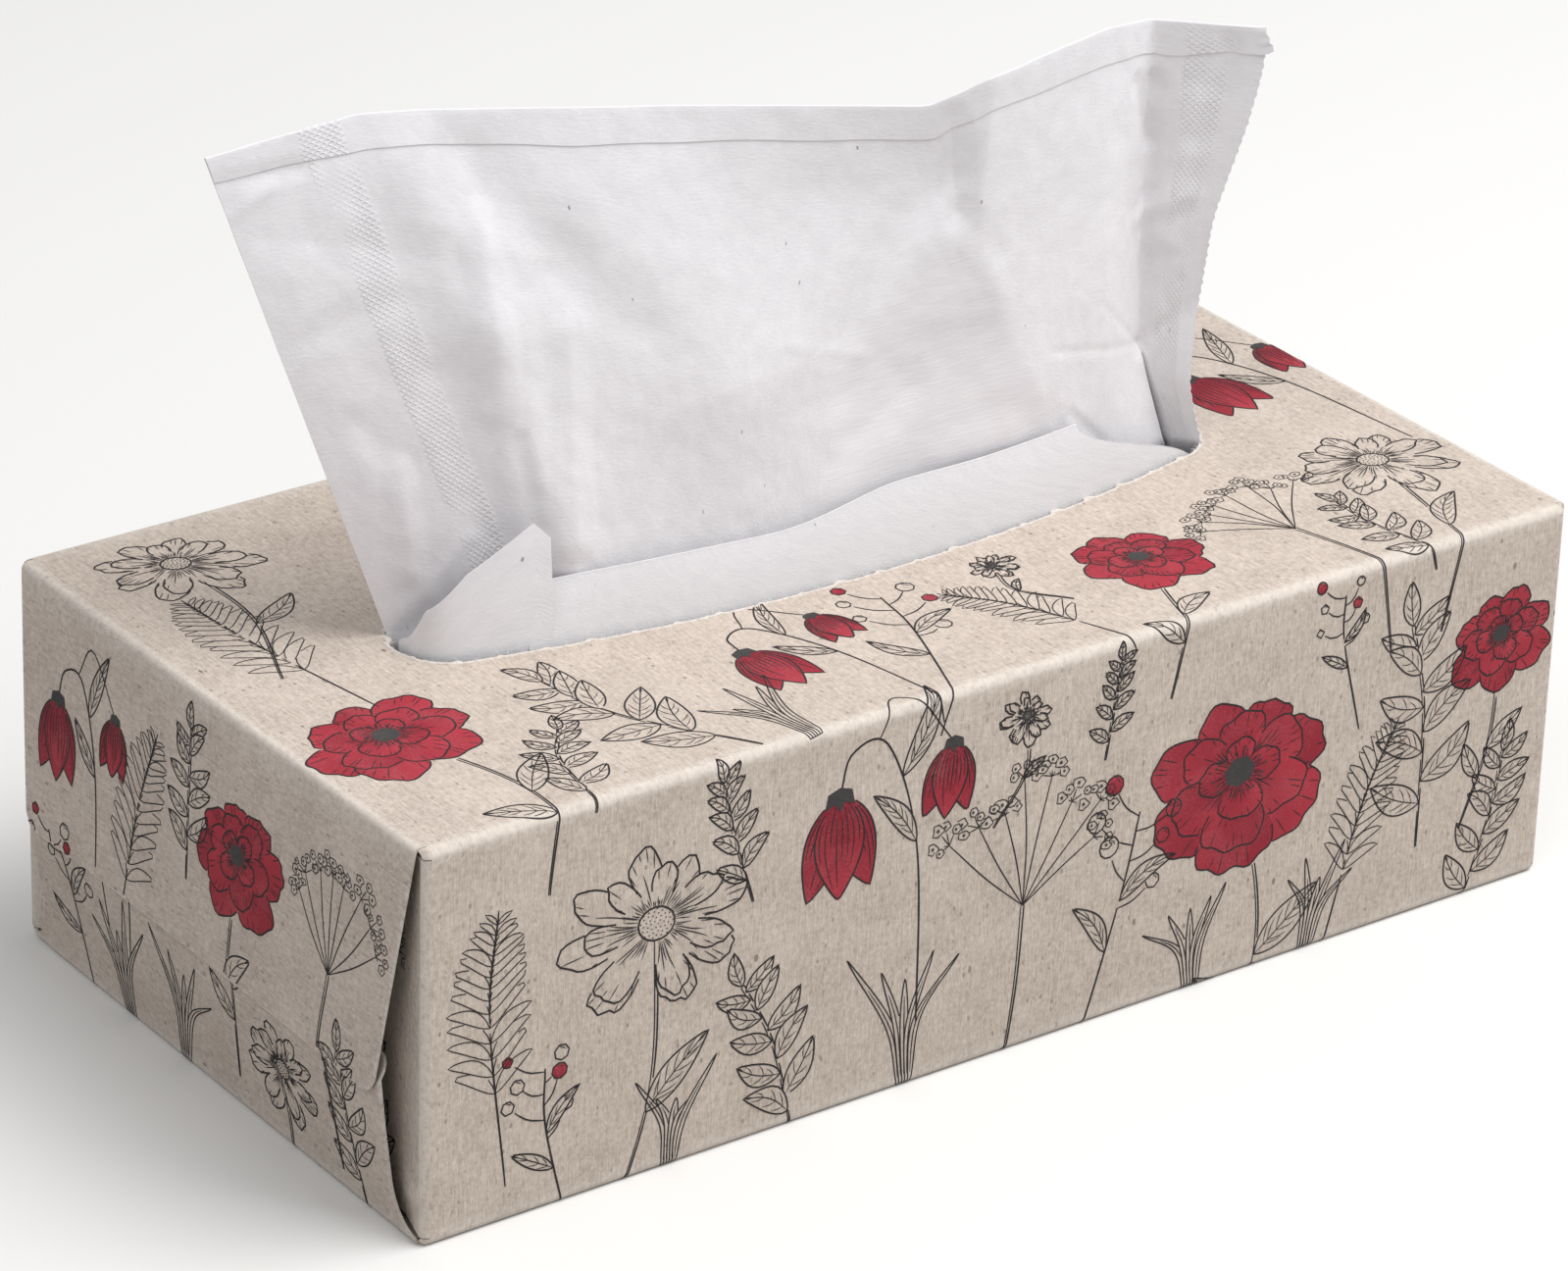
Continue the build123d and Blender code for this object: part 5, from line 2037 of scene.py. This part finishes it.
@dataclass
class NextSheet:
    """The next sheet: folded on the stack, then standing behind the slot's front edge."""

    slot: Slot
    stack_top: float = 58.45
    cut: float = 210.0
    thickness: float = 0.2
    setback: float = 0.5
    lean: float = 4.6
    crest: float = 76.8
    crest_rise: float = 2.4
    fold_half: float = 103.0
    left_end: float = -61.0
    right_end: float = 74.0
    narrowing: float = 27.0
    clearance: float = 0.35
    corner_foot: float = 61.5
    corner_reach: float = 26.0
    columns: int = 150
    name: str = "next_sheet"
    corner_name: str = "next_sheet_corner"

    def _front(self, x: np.ndarray) -> np.ndarray:
        """Give the standing fold's Y behind the slot's front edge."""
        outline = self.slot.clean_outline()
        edge = outline[(outline[:, 1] < 0)]
        edge = edge[np.argsort(edge[:, 0])]
        return np.interp(x, edge[:, 0], edge[:, 1]) + self.setback

    def _folded_rows(self, share: np.ndarray) -> list[np.ndarray]:
        """Give the folds that lie on the stack in front of the slot."""
        low, wide = self.stack_top + self.clearance, self.fold_half
        points = [(-6, low, wide), (-30, low, wide)]
        for turn, edge in enumerate((-52, -9, -50)):
            height = low + 0.5 * turn
            out = -1 if turn % 2 == 0 else 1
            points.extend([(edge, height, wide), (edge + out, height + 0.25, wide)])
            points.extend([(edge, height + 0.5, wide), (-30, height + 0.5, wide)])
        points.extend([(-20, low + 1.7, wide - 3), (-17, low + 2.2, wide - 11)])
        rows = []
        for y, z, half in along_path(points, 150):
            x = half * (2 * share - 1)
            rows.append(np.column_stack([x, np.full_like(x, y), np.full_like(x, z)]))
        return rows

    def _standing_rows(self, share: np.ndarray) -> list[np.ndarray]:
        """Give the fold that stands up behind the slot's front edge, over its crest and down again."""
        base = self.stack_top + 3.2
        rows = []
        places = [(height, 0.0, 0.0) for height in np.linspace(0, 1, 40)]
        for turn in np.linspace(0.15, 1, 6) * math.pi:
            places.append((1.0, 0.07 * (1 - math.cos(turn)), 0.07 * math.sin(turn)))
        places.extend((height, 0.14 + 1.2 * (1 - height), 0.0) for height in np.linspace(0.97, 0.05, 24))
        for height, back, top in places:
            left = self.left_end + 1.5 * smoothstep(np.array(height), 0.3, 1.0)
            right = self.right_end - self.narrowing * smoothstep(np.array(height), 0.2, 1.0)
            x = left + (right - left) * share
            crest = self.crest + self.crest_rise * smoothstep(x, -18.0, 10.0) + 0.25 * np.sin(x * 0.13)
            wave = (0.3 * np.sin(x * 0.085 + 0.4) + 0.2 * np.sin(x * 0.21)) * height
            z = base + (crest - base) * height + top
            rows.append(np.column_stack([x, self._front(x) + back + self.lean * height**1.9 + wave, z]))
        return rows

    def build(self) -> list[bpy.types.Object]:
        """Build the sheet and its standing corner.

        Returns:
            The sheet and the corner.
        """
        share = np.linspace(0, 1, self.columns)
        grid = np.array(self._folded_rows(share) + self._standing_rows(share))
        across = np.linspace(0, self.cut, self.columns)
        steps = np.linalg.norm(np.diff(grid, axis=0), axis=2).mean(axis=1)
        flat = np.stack(np.meshgrid(across, np.concatenate([[0], np.cumsum(steps)])), axis=2)
        # The next sheet takes the greyer tissue copy: painted shade where it stands in the slot.
        sheet = sheet_object(self.name, grid[:, ::-1], flat[:, ::-1], self.thickness, SHADED_STRIP_TISSUE)
        return [sheet, self._corner()]

    def _corner(self) -> bpy.types.Object:
        """Build the corner that stands up at the slot's left end."""
        rows, columns = 44, 60
        low, reach = self.corner_foot, self.corner_reach
        foot = [(-77.9, 0.3), (-77.2, -3), (-74.8, -6.3), (-70, -8.4), (-63, -10.2), (-56.7, -11.2)]
        base = along_path(foot, columns)
        peaks = np.array([(-78, 68.6), (-76.3, 75.5), (-70.6, 81.4), (-59.3, 88.1), (-56.7, 85.4)])
        top = np.interp(base[:, 0], peaks[:, 0], peaks[:, 1])
        wave = 0.5 * np.sin(np.linspace(0.4, 5.6, columns))
        grid = np.empty((rows, columns, 3))
        for row in range(rows):
            height = low + (top - low) * row / (rows - 1)
            rise = (height - low) / reach
            grid[row, :, 0] = base[:, 0]
            grid[row, :, 1] = base[:, 1] + 1.2 * rise**2 - wave * rise
            grid[row, :, 2] = height
        across = np.linspace(40, 66, columns)
        flat = np.stack(np.meshgrid(across, np.linspace(reach, 0, rows)), axis=2)
        return sheet_object(self.corner_name, grid[::-1], flat, self.thickness, CORNER_TISSUE)


@dataclass
class SheetStack:
    """The folded sheets left in the carton, stacked by Geometry Nodes from one folded sheet."""

    length: float = 210.0
    width: float = 108.0
    floor: float = 0.45
    height: float = 58.0
    layers: int = 46
    seed: int = 11
    name: str = "sheet_stack"

    def _folded_sheet(self) -> bpy.types.Object:
        """Make one folded sheet: two leaves joined at a round fold, open at the other side."""
        pitch = self.height / self.layers
        leaf = pitch * 0.4
        half = self.width / 2
        radius = pitch * 0.46
        outline = [(-half, -radius), (half - radius, -radius)]
        for turn in np.linspace(-1, 1, 7)[1:-1] * math.pi / 2:
            outline.append((half - radius + radius * math.cos(turn), radius * math.sin(turn)))
        inner, gap = half - radius * 2, radius - leaf
        outline.extend([(half - radius, radius), (-half, radius), (-half, gap)])
        outline.extend([(inner, gap), (inner, -gap), (-half, -gap)])
        ring = np.asarray(outline)
        count = len(ring)
        ends = [np.column_stack([np.full(count, side * self.length / 2), ring]) for side in (-1, 1)]
        faces = [[k, (k + 1) % count, count + (k + 1) % count, count + k] for k in range(count)]
        faces.append(list(range(count))[::-1])
        faces.append(list(range(count, 2 * count)))
        flat = np.column_stack([np.tile(ring[:, 0], 2) + half, np.repeat((0.0, self.length), count)])
        maps = {"Sheet": flat * MM}
        return make_object(self.name, np.vstack(ends), faces, [STACK_TISSUE.material()], None, maps)

    def build(self) -> bpy.types.Object:
        """Stack the sheets, turning every other one round and shifting each a little.

        Returns:
            The stack.
        """
        sheet = self._folded_sheet()
        pitch = self.height / self.layers
        tree = GeometryTree("sheet_stack_layers", {"Layers": self.layers, "Pitch": pitch * MM})
        offset = tree.node("ShaderNodeCombineXYZ", None, {2: tree.entry["Pitch"]})
        start = (0.0, 0.0, (self.floor + pitch / 2) * MM)
        line = {"Count": tree.entry["Layers"], "Start Location": start, "Offset": offset}
        places = tree.node("GeometryNodeMeshLine", {"mode": "OFFSET"}, line)
        jitter = tree.dice((-0.0008, -0.0007, 0.0), (0.0008, 0.0007, 0.0), self.seed)
        places = tree.node("GeometryNodeSetPosition", None, {"Geometry": places, "Offset": jitter})
        index = tree.node("GeometryNodeInputIndex", None, {})
        odd = tree.node("ShaderNodeMath", {"operation": "MODULO"}, {0: index, 1: 2.0})
        half_turn = tree.node("ShaderNodeMath", {"operation": "MULTIPLY"}, {0: odd, 1: math.pi})
        turn = tree.node("ShaderNodeCombineXYZ", None, {2: half_turn})
        inputs = {"Points": places, "Instance": tree.source, "Rotation": turn}
        placed = tree.node("GeometryNodeInstanceOnPoints", None, inputs)
        return tree.apply(sheet, placed, sheet.data.materials[0], self.name)


@dataclass
class Studio:
    """The camera, in millimetres and degrees, and the floor and the lights, in metres and watts."""

    azimuth: float = -36.5
    elevation: float = 26.35
    roll: float = 1.81
    distance: float = 1123.0
    aim_right: float = -1.66
    aim_up: float = 44.0
    focal_pixels: float = 6895.0
    floor_size: float = 6.0
    aim_height: float = 0.07
    key_place: tuple[float, float, float] = (0.58, -0.62, 1.42)
    key_size: float = 1.2
    key_power: float = 27.0
    side_place: tuple[float, float, float] = (-1.15, -0.62, 1.4)
    side_size: float = 0.9
    side_power: float = 5.6
    room_light: float = 0.48

    def _camera(self) -> None:
        """Place the camera at the photograph's view."""
        azimuth, elevation, roll = (math.radians(part) for part in (self.azimuth, self.elevation, self.roll))
        level = math.cos(elevation)
        back = Vector((math.sin(azimuth) * level, -math.cos(azimuth) * level, math.sin(elevation)))
        right = Vector((0, 0, 1)).cross(back).normalized()
        up = back.cross(right)
        turned_right = right * math.cos(roll) + up * math.sin(roll)
        turned_up = up * math.cos(roll) - right * math.sin(roll)
        place = (turned_right * self.aim_right + turned_up * self.aim_up + back * self.distance) * MM
        data = bpy.data.cameras.new("camera")
        data.sensor_width = SENSOR_MM
        data.sensor_fit = "HORIZONTAL"
        data.lens = self.focal_pixels * SENSOR_MM / IMAGE_WIDTH
        data.clip_start = 0.05
        camera = bpy.data.objects.new("camera", data)
        rotation = Matrix((turned_right, turned_up, back)).transposed().to_4x4()
        camera.matrix_world = Matrix.Translation(place) @ rotation
        bpy.context.scene.collection.objects.link(camera)
        bpy.context.scene.camera = camera

    def _softbox(self, name: str, place: tuple, size: float, power: float) -> None:
        """Hang one soft light that faces the carton."""
        data = bpy.data.lights.new(name, "AREA")
        data.size = size
        data.energy = power
        lamp = bpy.data.objects.new(name, data)
        aim = Vector((0, 0, self.aim_height)) - Vector(place)
        lamp.matrix_world = Matrix.Translation(place) @ aim.to_track_quat("-Z", "Y").to_matrix().to_4x4()
        bpy.context.scene.collection.objects.link(lamp)

    def _world(self) -> None:
        """Fill the room with even light, and show a white wall to the camera."""
        world = bpy.data.worlds.new("studio")
        world.use_nodes = True
        nodes, links = world.node_tree.nodes, world.node_tree.links
        nodes.clear()
        room, wall = nodes.new("ShaderNodeBackground"), nodes.new("ShaderNodeBackground")
        room.inputs["Color"].default_value = (0.97, 0.98, 1.0, 1.0)
        room.inputs["Strength"].default_value = self.room_light
        wall.inputs["Color"].default_value = srgb(251, 249, 245)
        path = nodes.new("ShaderNodeLightPath")
        mix = nodes.new("ShaderNodeMixShader")
        out = nodes.new("ShaderNodeOutputWorld")
        links.new(path.outputs["Is Camera Ray"], mix.inputs[0])
        links.new(room.outputs[0], mix.inputs[1])
        links.new(wall.outputs[0], mix.inputs[2])
        links.new(mix.outputs[0], out.inputs["Surface"])
        bpy.context.scene.world = world

    def build(self) -> None:
        """Set up the whole studio."""
        half = self.floor_size / 2 / MM
        points = np.array([(-half, -half, 0), (half, -half, 0), (half, half, 0), (-half, half, 0)])
        floor = make_object("studio_floor", points, [[0, 1, 2, 3]], [FloorFinish().material()])
        self._camera()
        self._softbox("key_softbox", self.key_place, self.key_size, self.key_power)
        self._softbox("side_softbox", self.side_place, self.side_size, self.side_power)
        self._world()
        bpy.context.scene.view_settings.view_transform = "Standard"


def report(piece: bpy.types.Object) -> None:
    """Log a finished piece's size."""
    triangles = sum(len(polygon.vertices) - 2 for polygon in piece.data.polygons)
    LOG.info("%s: %d triangles", piece.name, triangles)


def main() -> None:
    """Build the carton, its print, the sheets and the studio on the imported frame."""
    logging.basicConfig(level=logging.INFO, format="%(message)s")
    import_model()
    blank = Blank()
    board = Carton(blank).build()
    print_maker = BotanicalPrint(blank)
    seed = FIRST_SEED
    for side, placements in PLACEMENTS.items():
        for placement in placements:
            print_maker.add(side, placement, seed)
            seed += 1
    inks = print_maker.build()
    fibres = TornEdge(blank).build()
    pulled_sheet = PulledSheet()
    pulled = pulled_sheet.build()
    next_sheet, corner = NextSheet(blank.slot).build()
    stack = SheetStack().build()
    Studio().build()
    for piece in [board, fibres, *inks]:
        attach(piece, BODY)
    for piece in (pulled, next_sheet, corner):
        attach(piece, BODY)
    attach(stack, BODY)
    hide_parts("carton")
    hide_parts("tissue_stack")
    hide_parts("pulled_tissue")
    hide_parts("next_tissue")
    cut = pulled_sheet.cut * MM
    for piece in [board, fibres, *inks, pulled, next_sheet, corner, stack]:
        report(piece)


if __name__ == "__main__":
    main()
